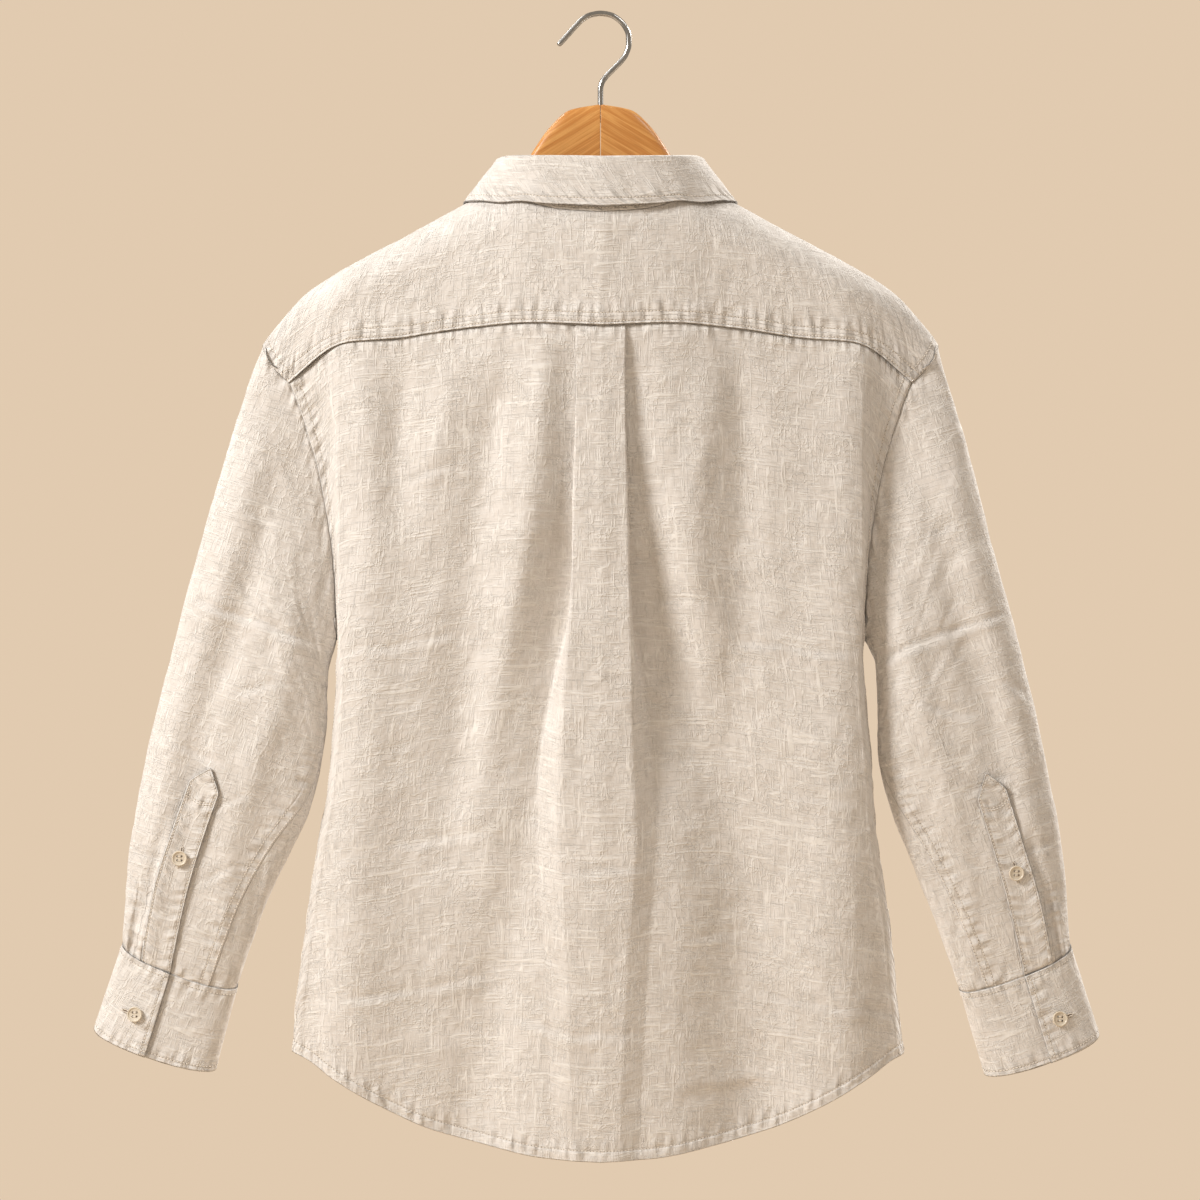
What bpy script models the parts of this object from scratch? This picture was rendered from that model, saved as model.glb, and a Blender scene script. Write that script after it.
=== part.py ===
"""Linen shirt with a box-pleated back, hung on a wooden hanger with a wire hook.

+Z is up, the fronts face -Y and the back faces +Y; the origin is the hook's inner crown.
Sizes and tables are in millimetres, and meshes are made in metres.
"""
import math
import bpy
import bmesh
import numpy as np

MM = 0.001

# Cloth and seams
WALL = 1.0
YOKE_WALL = 1.5
STIFF_WALL = 1.9
SEAM_GAP = 0.5
LAID_ON = 1.7
PLACKET_LIFT = (2.7, 1.6)

# Shoulder ridge: distance from the centre, height
RIDGE = ((0, -130), (60, -133), (92, -146), (112, -156.5), (153, -179), (189, -197.5),
         (219, -214), (245, -232), (264, -253), (276, -268), (284, -282))
# How far back and front stand from the ridge's plane: distance from the centre, depth
BACK_DEPTH = ((0, 45), (60, 41), (92, 36), (120, 32), (160, 29), (200, 27), (216, 24), (235, 18),
              (257, 12), (284, 7))
FRONT_DEPTH = ((0, 50), (50, 47), (92, 37), (120, 31), (160, 27), (200, 24), (216, 21), (235, 16),
               (257, 11), (284, 7))
# Drop in which the cloth turns from the ridge to the vertical: distance from the centre, drop
TURN_DROP = ((0, 50), (92, 42), (150, 33), (220, 27), (284, 20))

# Seam lines
NECK_LINE = ((0, 0, 0.82), (0.15, 31, 0.80), (0.28, 58, 0.70), (0.38, 78, 0.50), (0.46, 89, 0.22),
             (0.52, 92, 0), (0.58, 91, -0.28), (0.66, 83, -0.62), (0.76, 64, -0.92),
             (0.88, 34, -1.18), (1, 0, -1.27))
YOKE_SEAM = ((0, -258), (57, -256), (117, -261), (166, -268), (206, -271), (219, -275),
             (257, -304))
NECK_CORNER = 0.55
FRONT_SEAM = ((0.55, 91.7, -0.14), (0.8, 182, -0.55), (1, 267.5, -1.23))
BACK_ARMHOLE_TOP = -304
FRONT_ARMHOLE_TOP = -286
UNDERARM = -515
SIDE_HEM = -854
ARMHOLE_EDGE = ((-515, 218), (-484, 219.8), (-450, 222), (-404, 228), (-377, 233),
                (-352, 240), (-329, 247), (-304, 257), (-286, 268))
ARMHOLE_DEPTH = ((-515, 3.5), (-480, 6), (-430, 8.5), (-360, 10), (-304, 12), (-286, 9.7))
TIGHT_GAP = 1.0
FOLD_EDGE = 214
SIDE_LEFT = ((-854, 254.8), (-793, 248.5), (-743, 241.9), (-679, 232), (-638, 225), (-588, 220.6),
             (-522, 216.5), (-500, 216))
SIDE_RIGHT = ((-855, 250.4), (-801, 243.6), (-743, 237.1), (-679, 228.2), (-604, 222.6),
              (-522, 216.2), (-500, 216))
HEM = ((0, -940.5), (41, -938.5), (94, -929), (138, -917), (178, -899), (218, -876), (240, -861),
       (255, -854))
FRONT_HEM_RISE = 26
SIDE_SEAM_DEPTH = 5

# Box pleat: height, centre, half width, fold angle in degrees, turn radius, lift
PLEAT = ((-941, 4, 26, 16, 9, 9), (-778, 3, 32, 20, 9, 9), (-680, 3, 38, 28, 9, 8),
         (-620, 3, 34, 48, 7, 7), (-556, 2, 30, 75, 4.5, 6), (-480, 0, 25, 108, 2.6, 5),
         (-420, 0, 22.5, 140, 1.4, 4), (-360, 0, 21, 165, 1.0, 3), (-310, 0, 20.3, 176, 0.92, 2.2),
         (-250, 0, 20, 180, 0.9, 1.8))
PLEAT_UNDERLAY = 15

# Hanging folds of the back: rows of height, centre, rise, half width
BACK_FOLDS = (
    ((-930, 104, -9, 34), (-830, 90, -10, 32), (-730, 70, -9, 26), (-630, 52, -7, 18),
     (-532, 36, -5, 14), (-400, 28, -4, 13), (-280, 26, -3, 12)),
    ((-700, 112, 0, 18), (-630, 97, 3, 16), (-581, 88, 5, 15), (-483, 69, 5, 14),
     (-384, 56, 4, 13), (-290, 45, 3, 12)),
    ((-720, 128, 0, 24), (-630, 121, -4, 22), (-532, 111, -6, 20), (-434, 102, -6, 18),
     (-335, 87, -5, 14), (-285, 76, -2, 12)),
    ((-450, 145, 0, 14), (-384, 137, 2.5, 14), (-335, 127, 4, 14), (-290, 118, 2.5, 13)),
    ((-430, 170, 0, 12), (-384, 168, -2.5, 12), (-335, 164, -4, 11), (-290, 161, -2, 10)),
    ((-930, 212, 7, 34), (-730, 205, 9, 34), (-581, 192, 7, 28), (-434, 187, 4, 18),
     (-290, 196, 3, 14)),
    ((-720, -96, 0, 28), (-630, -82, -4, 24), (-532, -64, -6, 18), (-434, -45, -6, 15),
     (-335, -32, -4, 13), (-280, -27, -3, 12)),
    ((-520, -84, 0, 13), (-434, -76, 3, 13), (-335, -86, 3, 14), (-290, -90, 1.5, 13)),
    ((-930, -122, -8, 36), (-729, -112, -9, 34), (-630, -107, -6, 26), (-483, -116, -5, 18),
     (-335, -117, -4, 14), (-285, -112, -2, 12)),
    ((-930, -196, 8, 36), (-680, -197, 9, 36), (-434, -200, 6, 32), (-290, -204, 3, 24)),
)
FRONT_FOLDS = (
    ((-890, 90, -6, 24), (-600, 82, -5, 20), (-420, 70, -4, 16), (-280, 66, -1, 14)),
    ((-870, 150, 6, 28), (-600, 138, 5, 24), (-350, 120, 3, 20)),
    ((-850, 205, -5, 20), (-600, 186, -4, 16), (-450, 180, 0, 14)),
    ((-890, -84, -5, 22), (-640, -74, -5, 20), (-380, -60, -3, 16), (-280, -60, -1, 14)),
    ((-870, -142, 6, 30), (-560, -132, 5, 26), (-330, -116, 3, 20)),
    ((-850, -204, -4, 20), (-620, -188, -4, 16), (-470, -180, 0, 14)),
)

# Sleeves: share of the length, outer edge x and z, inner edge x and z, half depth
SLEEVE_LEFT = (
    (0, 280, -271, 217, -515, 13), (0.06, 290, -298, 221, -522, 17),
    (0.14, 303, -340, 225, -536, 20), (0.24, 316, -386, 226, -553, 22),
    (0.36, 333, -447, 226.5, -580, 23), (0.5, 351, -514, 229, -608, 23),
    (0.64, 369, -584, 240, -655, 22), (0.78, 383, -652, 256, -689, 20),
    (0.9, 391, -708, 276, -731, 18), (1, 393.5, -766, 300.5, -800, 15))
SLEEVE_RIGHT = (
    (0, 280, -271, 217, -515, 13), (0.06, 289, -306, 221, -521, 17),
    (0.14, 300, -346, 225.5, -532, 20), (0.24, 313, -396, 228, -552, 22),
    (0.36, 329, -457, 229, -578, 23), (0.5, 346, -519, 230, -612, 23),
    (0.64, 363, -590, 240, -655, 22), (0.78, 377, -664, 255, -694, 20),
    (0.9, 385, -722, 275, -742, 18), (1, 387, -768, 297, -802, 15))
SLEEVE_DIP = 9
SLEEVE_FOLDS_LEFT = (
    ((-700, 345, 0, 12), (-600, 330, -3, 13), (-480, 290, -4, 14), (-360, 268, -1, 10)),
    ((-760, 372, 2, 9), (-620, 358, 4, 13), (-420, 300, 3, 13), (-330, 284, 1, 10)),
    ((-740, 312, 2, 10), (-640, 292, 4, 14), (-560, 262, 4, 14), (-470, 250, 1, 10)),
)
SLEEVE_FOLDS_RIGHT = (
    ((-700, -341, 0, 12), (-600, -326, -3, 13), (-500, -296, -5, 14), (-360, -266, -1, 10)),
    ((-760, -368, 2, 9), (-600, -348, 4, 13), (-430, -304, 3, 13), (-330, -284, 1, 10)),
    ((-740, -308, 2, 10), (-640, -284, 4, 14), (-540, -254, 4, 13), (-470, -246, 1, 10)),
)

# Cuffs: outer edge x and z, inner edge x and z, at the top and at the bottom
CUFF_LEFT = ((393.5, -766.8, 300.5, -800.8), (417, -836, 318, -868.5))
CUFF_RIGHT = ((387.5, -768.7, 297, -803), (410.5, -841, 317.5, -872.5))
CUFF_DEPTH = (15, 18)
CUFF_DIP = 9
CUFF_LAP_EDGE = 0.43
CUFF_UNDERLAP = 0.17
CUFF_LAYER = 1.35
CUFF_BUTTON = 0.16

# Sleeve plackets: share of the sleeve's length, middle and half width as shares across
PLACKET = ((0.66, 0.40, 0.004), (0.70, 0.388, 0.098), (0.80, 0.355, 0.105), (0.90, 0.325, 0.118),
           (0.985, 0.30, 0.128))
PLACKET_BUTTON = 0.84

# Collar
STAND_TOP = ((0, -125), (0.3, -123.5), (0.52, -121.5), (0.7, -131), (0.85, -152), (1, -169))
STAND_TOP_SHARE = (0.855, 0.9)
STAND_LAP = 1.05
STAND_LAYER = 1.4
STAND_OVER_RIDGE = 1.8
LEAF_END = 0.985
LEAF_ROLL = ((0.9, 0), (2.6, 0.5), (3.7, 3.2), (2.7, 6.0))
LEAF_EDGE = ((0, 0, 0.79), (0.15, 42, 0.77), (0.28, 75, 0.67), (0.38, 98, 0.42), (0.46, 109, 0.2),
             (0.52, 113, 0), (0.6, 113.5, -0.42), (0.7, 107, -0.82), (0.8, 96, -1.17),
             (0.9, 78, -1.53), (1, 58, -1.8))
LEAF_CLEAR = 2.4
LEAF_BACK_STANDOFF = 6
LEAF_OVER_STAND = 3.2

# Front closure
FRONT_LAP = 16
LAP_LAYER = 0.85
BUTTON_DROPS = (-183, -238, -326, -414, -502, -590, -678)

# Buttons
BUTTON_RADIUS = 6.4
BUTTON_THICK = 2.6
BUTTON_DISH = 0.7
BUTTON_SEAT = 0.4

# Hanger
WOOD_TOP = ((0, -72.7), (25, -77.5), (42, -92), (60, -118), (68, -129.5), (76, -139), (84, -145),
            (92, -149.5), (112, -159), (135, -171), (153, -181), (189, -199.5), (210, -210.8),
            (220, -217.5))
WOOD_BOTTOM = ((0, -126), (30, -129), (60, -147), (90, -170), (112, -183), (150, -204),
               (200, -230), (220, -238))
WOOD_HALF_THICK = 7
WOOD_END = 220
HOOK_RADIUS = 2.3
HOOK_PATH = ((33.6, -22.7), (27.3, -15.8), (20.9, -8.6), (14.8, -2.6), (8, 1.0), (0, 2.3),
             (-8, 1.1), (-14.8, -2.7), (-20.2, -8.6), (-23.2, -16), (-23.4, -23.5),
             (-21, -31.5), (-16.4, -38), (-10, -44.5), (-4.2, -50.5), (-1, -55.5), (0, -61),
             (0, -74), (0, -88))
HOOK_HOLE = 2.75

# Colours and finish: colour, roughness, metallic
FINISH = {
    "linen": ((0.68, 0.60, 0.49), 0.9, 0.0),
    "button": ((0.74, 0.66, 0.52), 0.4, 0.0),
    "wood": ((0.55, 0.27, 0.09), 0.4, 0.0),
    "steel": ((0.55, 0.55, 0.54), 0.25, 1.0),
}


def clear_scene():
    for item in list(bpy.data.objects):
        bpy.data.objects.remove(item)


def make_materials():
    made = {}
    for name, (colour, roughness, metallic) in FINISH.items():
        material = bpy.data.materials.new(name)
        material.use_nodes = True
        shader = material.node_tree.nodes["Principled BSDF"]
        shader.inputs["Base Color"].default_value = (*colour, 1)
        shader.inputs["Roughness"].default_value = roughness
        shader.inputs["Metallic"].default_value = metallic
        made[name] = material
    return made


def through(rows, at, column=1):
    """Smooth curve through a table's rows, read at an array of places in its first column."""
    places = np.array([row[0] for row in rows], float)
    values = np.array([row[column] for row in rows], float)
    at = np.clip(at, places[0], places[-1])
    steps = np.diff(values) / np.diff(places)
    before, after = steps[:-1], steps[1:]
    same_way = before * after > 0
    inner = np.zeros_like(before)
    inner[same_way] = 2 * before[same_way] * after[same_way] / (before + after)[same_way]
    slopes = np.concatenate([steps[:1], inner, steps[-1:]])
    left = np.clip(np.searchsorted(places, at, side="right") - 1, 0, len(steps) - 1)
    width = places[left + 1] - places[left]
    t = (at - places[left]) / width
    start = values[left] * (1 + 2 * t) * (1 - t) ** 2 + slopes[left] * width * t * (1 - t) ** 2
    end = values[left + 1] * t * t * (3 - 2 * t) + slopes[left + 1] * width * t * t * (t - 1)
    return start + end


def soft_step(low, high, at):
    t = np.clip((at - low) / (high - low), 0, 1)
    return t * t * (3 - 2 * t)


def relief(folds, x, z):
    """Rise of the hanging folds at a place of the cloth."""
    total = np.zeros(np.broadcast(x, z).shape)
    for fold in folds:
        centre, rise, half = (through(fold, z, column) for column in (1, 2, 3))
        fade = soft_step(fold[-1][0] + 40, fold[-1][0] - 30, z)
        fade = fade * soft_step(fold[0][0] - 60, fold[0][0] + 20, z)
        total = total + rise * fade * np.exp(-((x - centre) / half) ** 2)
    return total


def depth_at(x, z, side):
    """Distance of back (side 1) or front (side -1) from the ridge's plane."""
    across = np.abs(x)
    drop = np.maximum(through(RIDGE, across) - z, 0) / through(TURN_DROP, across)
    turn = np.sqrt(1 - (1 - np.minimum(drop, 1)) ** 2)
    return through(BACK_DEPTH if side > 0 else FRONT_DEPTH, across) * turn


def over_ridge(x, around):
    """Point of the form at x, where around runs from 0 on the ridge to 1 where it is upright."""
    across = np.abs(x)
    height = through(TURN_DROP, across)
    bend = np.clip(np.abs(around), 0, 1) * math.pi / 2
    hang = np.maximum(np.abs(around) - 1, 0) * math.pi / 2
    z = through(RIDGE, across) - height * (1 - np.cos(bend) + hang)
    depth = np.where(around > 0, through(BACK_DEPTH, across), -through(FRONT_DEPTH, across))
    return np.stack([x + 0 * z, depth * np.sin(bend), z], -1)


def around_at(x, z):
    """The place around the ridge at which the back of the form reaches a height."""
    across = np.abs(x)
    drop = (through(RIDGE, across) - z) / through(TURN_DROP, across)
    bend = np.arccos(1 - np.clip(drop, 0, 1)) / (math.pi / 2)
    return np.where(drop < 1, bend, 1 + (drop - 1) / (math.pi / 2))


def normals_of(grid, closed):
    """Unit normals of a grid of points, rows by columns."""
    if closed:
        along = np.roll(grid, -1, 1) - np.roll(grid, 1, 1)
    else:
        along = np.gradient(grid, axis=1)
    down = np.gradient(grid, axis=0)
    normal = np.cross(along, down)
    return normal / np.maximum(np.linalg.norm(normal, axis=-1, keepdims=True), 1e-9)


def add_object(name, points, faces, material, smooth=True):
    mesh = bpy.data.meshes.new(name)
    mesh.from_pydata([tuple(point) for point in points * MM], [], faces)
    mesh.materials.append(material)
    if smooth:
        mesh.shade_smooth()
        mesh.set_sharp_from_angle(angle=math.radians(50))
    part = bpy.data.objects.new(name, mesh)
    bpy.context.collection.objects.link(part)
    return part


def wall(name, grid, thickness, material, closed=False):
    """Closed cloth wall with its two faces half its thickness from a grid of points."""
    offset = normals_of(grid, closed) * thickness / 2
    rows, columns = grid.shape[:2]
    points = np.concatenate([(grid + offset).reshape(-1, 3), (grid - offset).reshape(-1, 3)])
    under = rows * columns
    faces = []
    spans = columns if closed else columns - 1
    for row in range(rows - 1):
        for column in range(spans):
            a = row * columns + column
            b = row * columns + (column + 1) % columns
            faces.append((a, b, b + columns, a + columns))
            faces.append((a + under, a + columns + under, b + columns + under, b + under))
    for column in range(spans):
        following = (column + 1) % columns
        faces.append((column, column + under, following + under, following))
        a = (rows - 1) * columns + column
        b = (rows - 1) * columns + following
        faces.append((a, b, b + under, a + under))
    if not closed:
        for row in range(rows - 1):
            a = row * columns
            faces.append((a, a + columns, a + columns + under, a + under))
            b = a + columns - 1
            faces.append((b, b + under, b + columns + under, b + columns))
    return add_object(name, points, faces, material)


def loft(name, rings, material):
    """Solid skinned over closed rings of points and capped at both ends."""
    count, sides = rings.shape[:2]
    faces = []
    for ring in range(count - 1):
        for side in range(sides):
            a = ring * sides + side
            b = ring * sides + (side + 1) % sides
            faces.append((a, b, b + sides, a + sides))
    faces.append(tuple(reversed(range(sides))))
    faces.append(tuple((count - 1) * sides + side for side in range(sides)))
    part = add_object(name, rings.reshape(-1, 3), faces, material)
    shape = bmesh.new()
    shape.from_mesh(part.data)
    bmesh.ops.recalc_face_normals(shape, faces=shape.faces)
    shape.to_mesh(part.data)
    shape.free()
    return part


def side_edge(z, hand):
    """Distance of the side seam from the centre, on the left (hand 1) or right (-1)."""
    return through(SIDE_LEFT if hand > 0 else SIDE_RIGHT, z)


def panel_edge(z, hand):
    """Outer edge of a body panel and its depth there: the armhole above, the side seam below."""
    above = soft_step(UNDERARM - 12, UNDERARM + 6, z)
    armhole = through(ARMHOLE_EDGE, z) - SEAM_GAP - TIGHT_GAP * soft_step(-380, -460, z)
    x = armhole * above + (side_edge(z, hand) - 0.5) * (1 - above)
    return x, above, through(ARMHOLE_DEPTH, z)


def side_turn(z, hand, side, share, fold_y):
    """Cloth between the upright fold edge and the panel's outer edge, as a cubic curve."""
    edge, above, arm_y = panel_edge(z, hand)
    fold = fold_line(z, hand)
    seam_y = arm_y * above + side * SIDE_SEAM_DEPTH * (1 - above) + SEAM_GAP * 0.6 * (1 - above)
    width = edge - fold
    lead = np.minimum(3, 0.4 * width) * above + 0.6 * width * (1 - above)
    tail_x = (fold + 0.5 * width) * above + edge * (1 - above)
    tail_y = seam_y * above + (seam_y + 0.5 * (fold_y - seam_y)) * (1 - above)
    rest = 1 - share
    a, b, c, d = rest ** 3, 3 * share * rest ** 2, 3 * share ** 2 * rest, share ** 3
    x = a * fold + b * (fold + lead) + c * tail_x + d * edge
    y = a * fold_y + b * fold_y + c * tail_y + d * seam_y
    return hand * x, y


def fold_line(z, hand):
    """Distance of the upright fold edge from the centre."""
    above = soft_step(-560, -500, z)
    return FOLD_EDGE * above + (side_edge(z, hand) - 8) * (1 - above)


# Steps down the armhole, down the side and over the yoke
ARMHOLE_STEPS = 8
SIDE_STEPS = 10
YOKE_STEPS = 8


def edge_heights(top):
    """Heights of a panel's rows at its armhole and side; the sleeve has the first ones too."""
    upper = top + (UNDERARM - top) * (1 - (1 - np.linspace(0, 1, ARMHOLE_STEPS + 1)) ** 1.3)
    return np.concatenate([upper, np.linspace(UNDERARM, SIDE_HEM, SIDE_STEPS + 1)[1:]])


def body_rows(top):
    """The same rows as shares of the panel's length."""
    return (edge_heights(top) - top) / (SIDE_HEM - top)


def back_section(kind, share, hand, z):
    """One place across the back: its x and its y."""
    centre, half, degrees, radius, lift = (through(PLEAT, z, column) for column in range(1, 6))
    angle = np.radians(degrees)
    sin, cos = np.sin(angle), np.cos(angle)
    turn = angle * share
    fold_x = half - radius + radius * np.sin(turn)
    fold_y = radius * np.cos(turn) - radius
    under_x = half - radius + radius * sin + PLEAT_UNDERLAY * cos
    under_y = radius * cos - radius - PLEAT_UNDERLAY * sin
    heart_x, heart_y = under_x + radius * sin, under_y + radius * cos
    back_turn = angle * (1 - share)
    start_x, start_y = heart_x, heart_y - radius
    opened = 1 - soft_step(30, 60, degrees)
    if kind == "band":
        x = centre + hand * share * (half - radius)
        return x, depth_at(x, z, 1) + lift + opened * relief(BACK_FOLDS, x, z)
    if kind == "edge":
        x = centre + hand * fold_x
        return x, depth_at(x, z, 1) + lift + fold_y + opened * relief(BACK_FOLDS, x, z)
    if kind == "under":
        x = centre + hand * (heart_x - radius * np.sin(back_turn))
        folds = (opened + (1 - opened) * share) * relief(BACK_FOLDS, x, z)
        return x, depth_at(x, z, 1) + lift + heart_y - radius * np.cos(back_turn) + folds
    fold = fold_line(z, hand)
    first = hand * centre + start_x
    across = first + (fold - first) * np.where(kind == "main", share, 1)
    spread = 22 + 40 * soft_step(-300, -700, z)
    sink = (lift + start_y) * np.exp(-((across - first) / spread) ** 2)
    x = hand * across
    y = depth_at(x, z, 1) + sink + relief(BACK_FOLDS, x, z)
    if kind == "main":
        return x, y
    return side_turn(z, hand, 1, share, y)


BACK_COLUMNS = (
    [("band", share) for share in (0.5, 1.0)] + [("edge", share) for share in (0.25, 0.5, 0.75, 1)]
    + [("under", share) for share in (0, 0.25, 0.5, 0.75, 1)]
    + [("main", share) for share in np.linspace(0, 1, 9)[1:]]
    + [("side", share) for share in (0.2, 0.4, 0.6, 0.8, 1)])


def column_ends(section, top_line, bottom_line):
    """Heights at which a column of a panel starts and ends, found by reading x and z in turn."""
    top = np.array(top_line(0.0))
    bottom = np.array(bottom_line(0.0))
    for _ in range(6):
        top = top_line(section(top)[0])
        bottom = bottom_line(section(bottom)[0])
    return top, bottom


def seam_below_yoke(x):
    across = np.abs(x)
    return through(YOKE_SEAM, across) - SEAM_GAP - 0.8 * TIGHT_GAP * soft_step(185, 212, across)


def back_hem(x):
    return through(HEM, np.abs(x))


def panel_column(section, top, bottom, rows):
    z = top + (bottom - top) * rows
    x, y = section(z)
    return np.stack([x, y, z], -1)


def back_grid():
    rows = body_rows(BACK_ARMHOLE_TOP)
    columns = []
    for kind, share in BACK_COLUMNS[::-1]:
        columns.append(("L", kind, share))
    columns.append(("L", "band", 0.0))
    for kind, share in BACK_COLUMNS:
        columns.append(("R", kind, share))
    lines = []
    for hand_name, kind, share in columns:
        hand = 1 if hand_name == "L" else -1
        section = lambda z: back_section(kind, share, hand, np.asarray(z, float))
        top, bottom = column_ends(section, seam_below_yoke, back_hem)
        if (kind, share) == ("side", 1):
            top, bottom = BACK_ARMHOLE_TOP, SIDE_HEM
        lines.append(panel_column(section, top, bottom, rows))
    return np.stack(lines, 1)


def front_section(kind, share, hand, z):
    """One place across a front, from its lapped edge to its side."""
    fold = fold_line(z, hand)
    if kind == "lap":
        across = share + 0 * z
    else:
        across = FRONT_LAP + (fold - FRONT_LAP) * (share if kind == "main" else 1)
    x = hand * across
    layer = LAP_LAYER * hand * soft_step(60, 22, across)
    y = -depth_at(x, z, -1) - layer - relief(FRONT_FOLDS, x, z)
    if kind == "side":
        x, y_side = side_turn(z, hand, -1, share, -y)
        return x, -y_side
    return x, y


FRONT_COLUMNS = (
    [("lap", across) for across in (-FRONT_LAP, -FRONT_LAP / 2, 0, FRONT_LAP / 2, FRONT_LAP)]
    + [("main", share) for share in (0.1, 0.22, 0.3, 0.36, 0.42, 0.54, 0.68, 0.84, 1)]
    + [("side", share) for share in (0.25, 0.5, 0.75, 1)])


def front_top(x):
    """Top edge of a front: the neck seam, then the shoulder seam."""
    across = np.abs(x)
    places = np.linspace(NECK_CORNER, 1, 40)
    neck = over_ridge(through(NECK_LINE, places), through(NECK_LINE, places, 2))
    seam = over_ridge(through(FRONT_SEAM, places), through(FRONT_SEAM, places, 2))
    line = np.concatenate([neck[::-1], seam[1:]])
    return np.interp(across, line[:, 0], line[:, 2]) - SEAM_GAP - TIGHT_GAP * soft_step(60, 92, across)


def front_hem(x):
    return back_hem(x) + FRONT_HEM_RISE * soft_step(230, 60, np.abs(x))


def front_grid(hand):
    rows = body_rows(FRONT_ARMHOLE_TOP)
    lines = []
    for kind, share in FRONT_COLUMNS:
        section = lambda z: front_section(kind, share, hand, np.asarray(z, float))
        top, bottom = column_ends(section, front_top, front_hem)
        if (kind, share) == ("side", 1):
            top, bottom = FRONT_ARMHOLE_TOP - 1.5 * TIGHT_GAP, SIDE_HEM
        lines.append(panel_column(section, top, bottom, rows))
    grid = np.stack(lines, 1)
    return grid if hand < 0 else grid[:, ::-1]


def neck_point(place):
    """Neck seam at a place from the centre back (0) round to the centre front (1) and past it."""
    share = np.abs(place)
    mirrored = np.where(share > 1, 2 - share, share)
    x = through(NECK_LINE, mirrored) * np.where(share > 1, -1, 1) * np.sign(place)
    return over_ridge(x, through(NECK_LINE, mirrored, 2))


YOKE_NECK = 0.42
SHOULDER_BOW = 16


def yoke_grid():
    shares = np.concatenate([np.linspace(0, YOKE_NECK, 8), np.linspace(YOKE_NECK, 1, 9)[1:]])
    shares = np.concatenate([-shares[:0:-1], shares])
    steps = np.linspace(0, 1, YOKE_STEPS + 1)
    lines = []
    for share in shares:
        size = abs(share)
        if size <= YOKE_NECK:
            place = NECK_CORNER * size / YOKE_NECK
            x0, a0 = through(NECK_LINE, place), through(NECK_LINE, place, 2)
        else:
            place = NECK_CORNER + (1 - NECK_CORNER) * (size - YOKE_NECK) / (1 - YOKE_NECK)
            x0, a0 = through(FRONT_SEAM, place), through(FRONT_SEAM, place, 2)
        x1 = 257 * size
        a1 = around_at(x1, through(YOKE_SEAM, x1))
        ridge = max(-a0 / (a1 - a0), 0.1)
        t = np.interp(steps, (0, 0.25), (0, ridge))
        past = np.maximum(steps - 0.25, 0) / 0.75
        t = np.where(past > 0, ridge + (1 - ridge) * past ** 1.3, t)
        bow = SHOULDER_BOW * soft_step(0.8, 1, size) * np.sin(math.pi * t)
        x = (x0 + (x1 - x0) * t + bow) * np.sign(share)
        lines.append(over_ridge(x, a0 + (a1 - a0) * t))
    return np.stack(lines, 1)


def armhole_loop(hand, yoke):
    """Points round the armhole seam: over the yoke's end, down the back, then up the front."""
    end, before = (yoke[:, -1], yoke[:, -2]) if hand > 0 else (yoke[:, 0], yoke[:, 1])
    sides = []
    for side, start in ((1, BACK_ARMHOLE_TOP), (-1, FRONT_ARMHOLE_TOP)):
        z = edge_heights(start)[:ARMHOLE_STEPS + 1]
        y = side * through(ARMHOLE_DEPTH, z) * (z > UNDERARM)
        sides.append(np.stack([hand * through(ARMHOLE_EDGE, z), y, z], -1))
    back, front = sides
    out = end - before
    top = end + out / np.linalg.norm(out, axis=1, keepdims=True) * SEAM_GAP * 1.6
    return np.concatenate([top, back[1:], front[-2:0:-1]])


def sleeve_point(hand, share, across, around):
    """Point of the hanging sleeve: across runs from its outer to its inner edge."""
    rows = SLEEVE_LEFT if hand > 0 else SLEEVE_RIGHT
    outer_x, outer_z, inner_x, inner_z, depth = (through(rows, share, c) for c in range(1, 6))
    x = hand * (outer_x + (inner_x - outer_x) * across)
    level = outer_z + (inner_z - outer_z) * across
    swell = np.sign(around) * np.abs(around) ** 0.72
    folds = relief(SLEEVE_FOLDS_LEFT if hand > 0 else SLEEVE_FOLDS_RIGHT, x, level)
    y = depth * swell + folds * np.abs(around) * np.sign(around)
    return np.stack([x, y, level - SLEEVE_DIP * swell * soft_step(0.6, 1, share)], -1)


SLEEVE_SHARES = (0, 0.03, 0.08, 0.15, 0.24, 0.34, 0.45, 0.56, 0.67, 0.78, 0.88, 0.95, 1)


def loop_angles(loop):
    """Place across the sleeve, and how far round it, for each point of the armhole loop."""
    top = loop[YOKE_STEPS // 2, 2]
    fall = np.clip((loop[:, 2] - top) / (UNDERARM - top), 0, 1)
    angle = np.arccos(1 - 2 * fall) * np.where(np.arange(len(loop)) > YOKE_STEPS + ARMHOLE_STEPS, -1, 1)
    angle[:YOKE_STEPS + 1] = angle[YOKE_STEPS] * np.linspace(-1, 1, YOKE_STEPS + 1)
    return (1 - np.cos(angle)) / 2, np.sin(angle)


def sleeve_grid(hand, yoke):
    loop = armhole_loop(hand, yoke)
    across, around = loop_angles(loop)
    lines = []
    for share in SLEEVE_SHARES:
        hanging = sleeve_point(hand, share, across, around)
        leave = soft_step(-0.02, 0.16, share) if share > 0 else 0
        lines.append(loop * (1 - leave) + hanging * leave)
    grid = np.stack(lines)
    return grid if hand > 0 else grid[:, ::-1]


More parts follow.
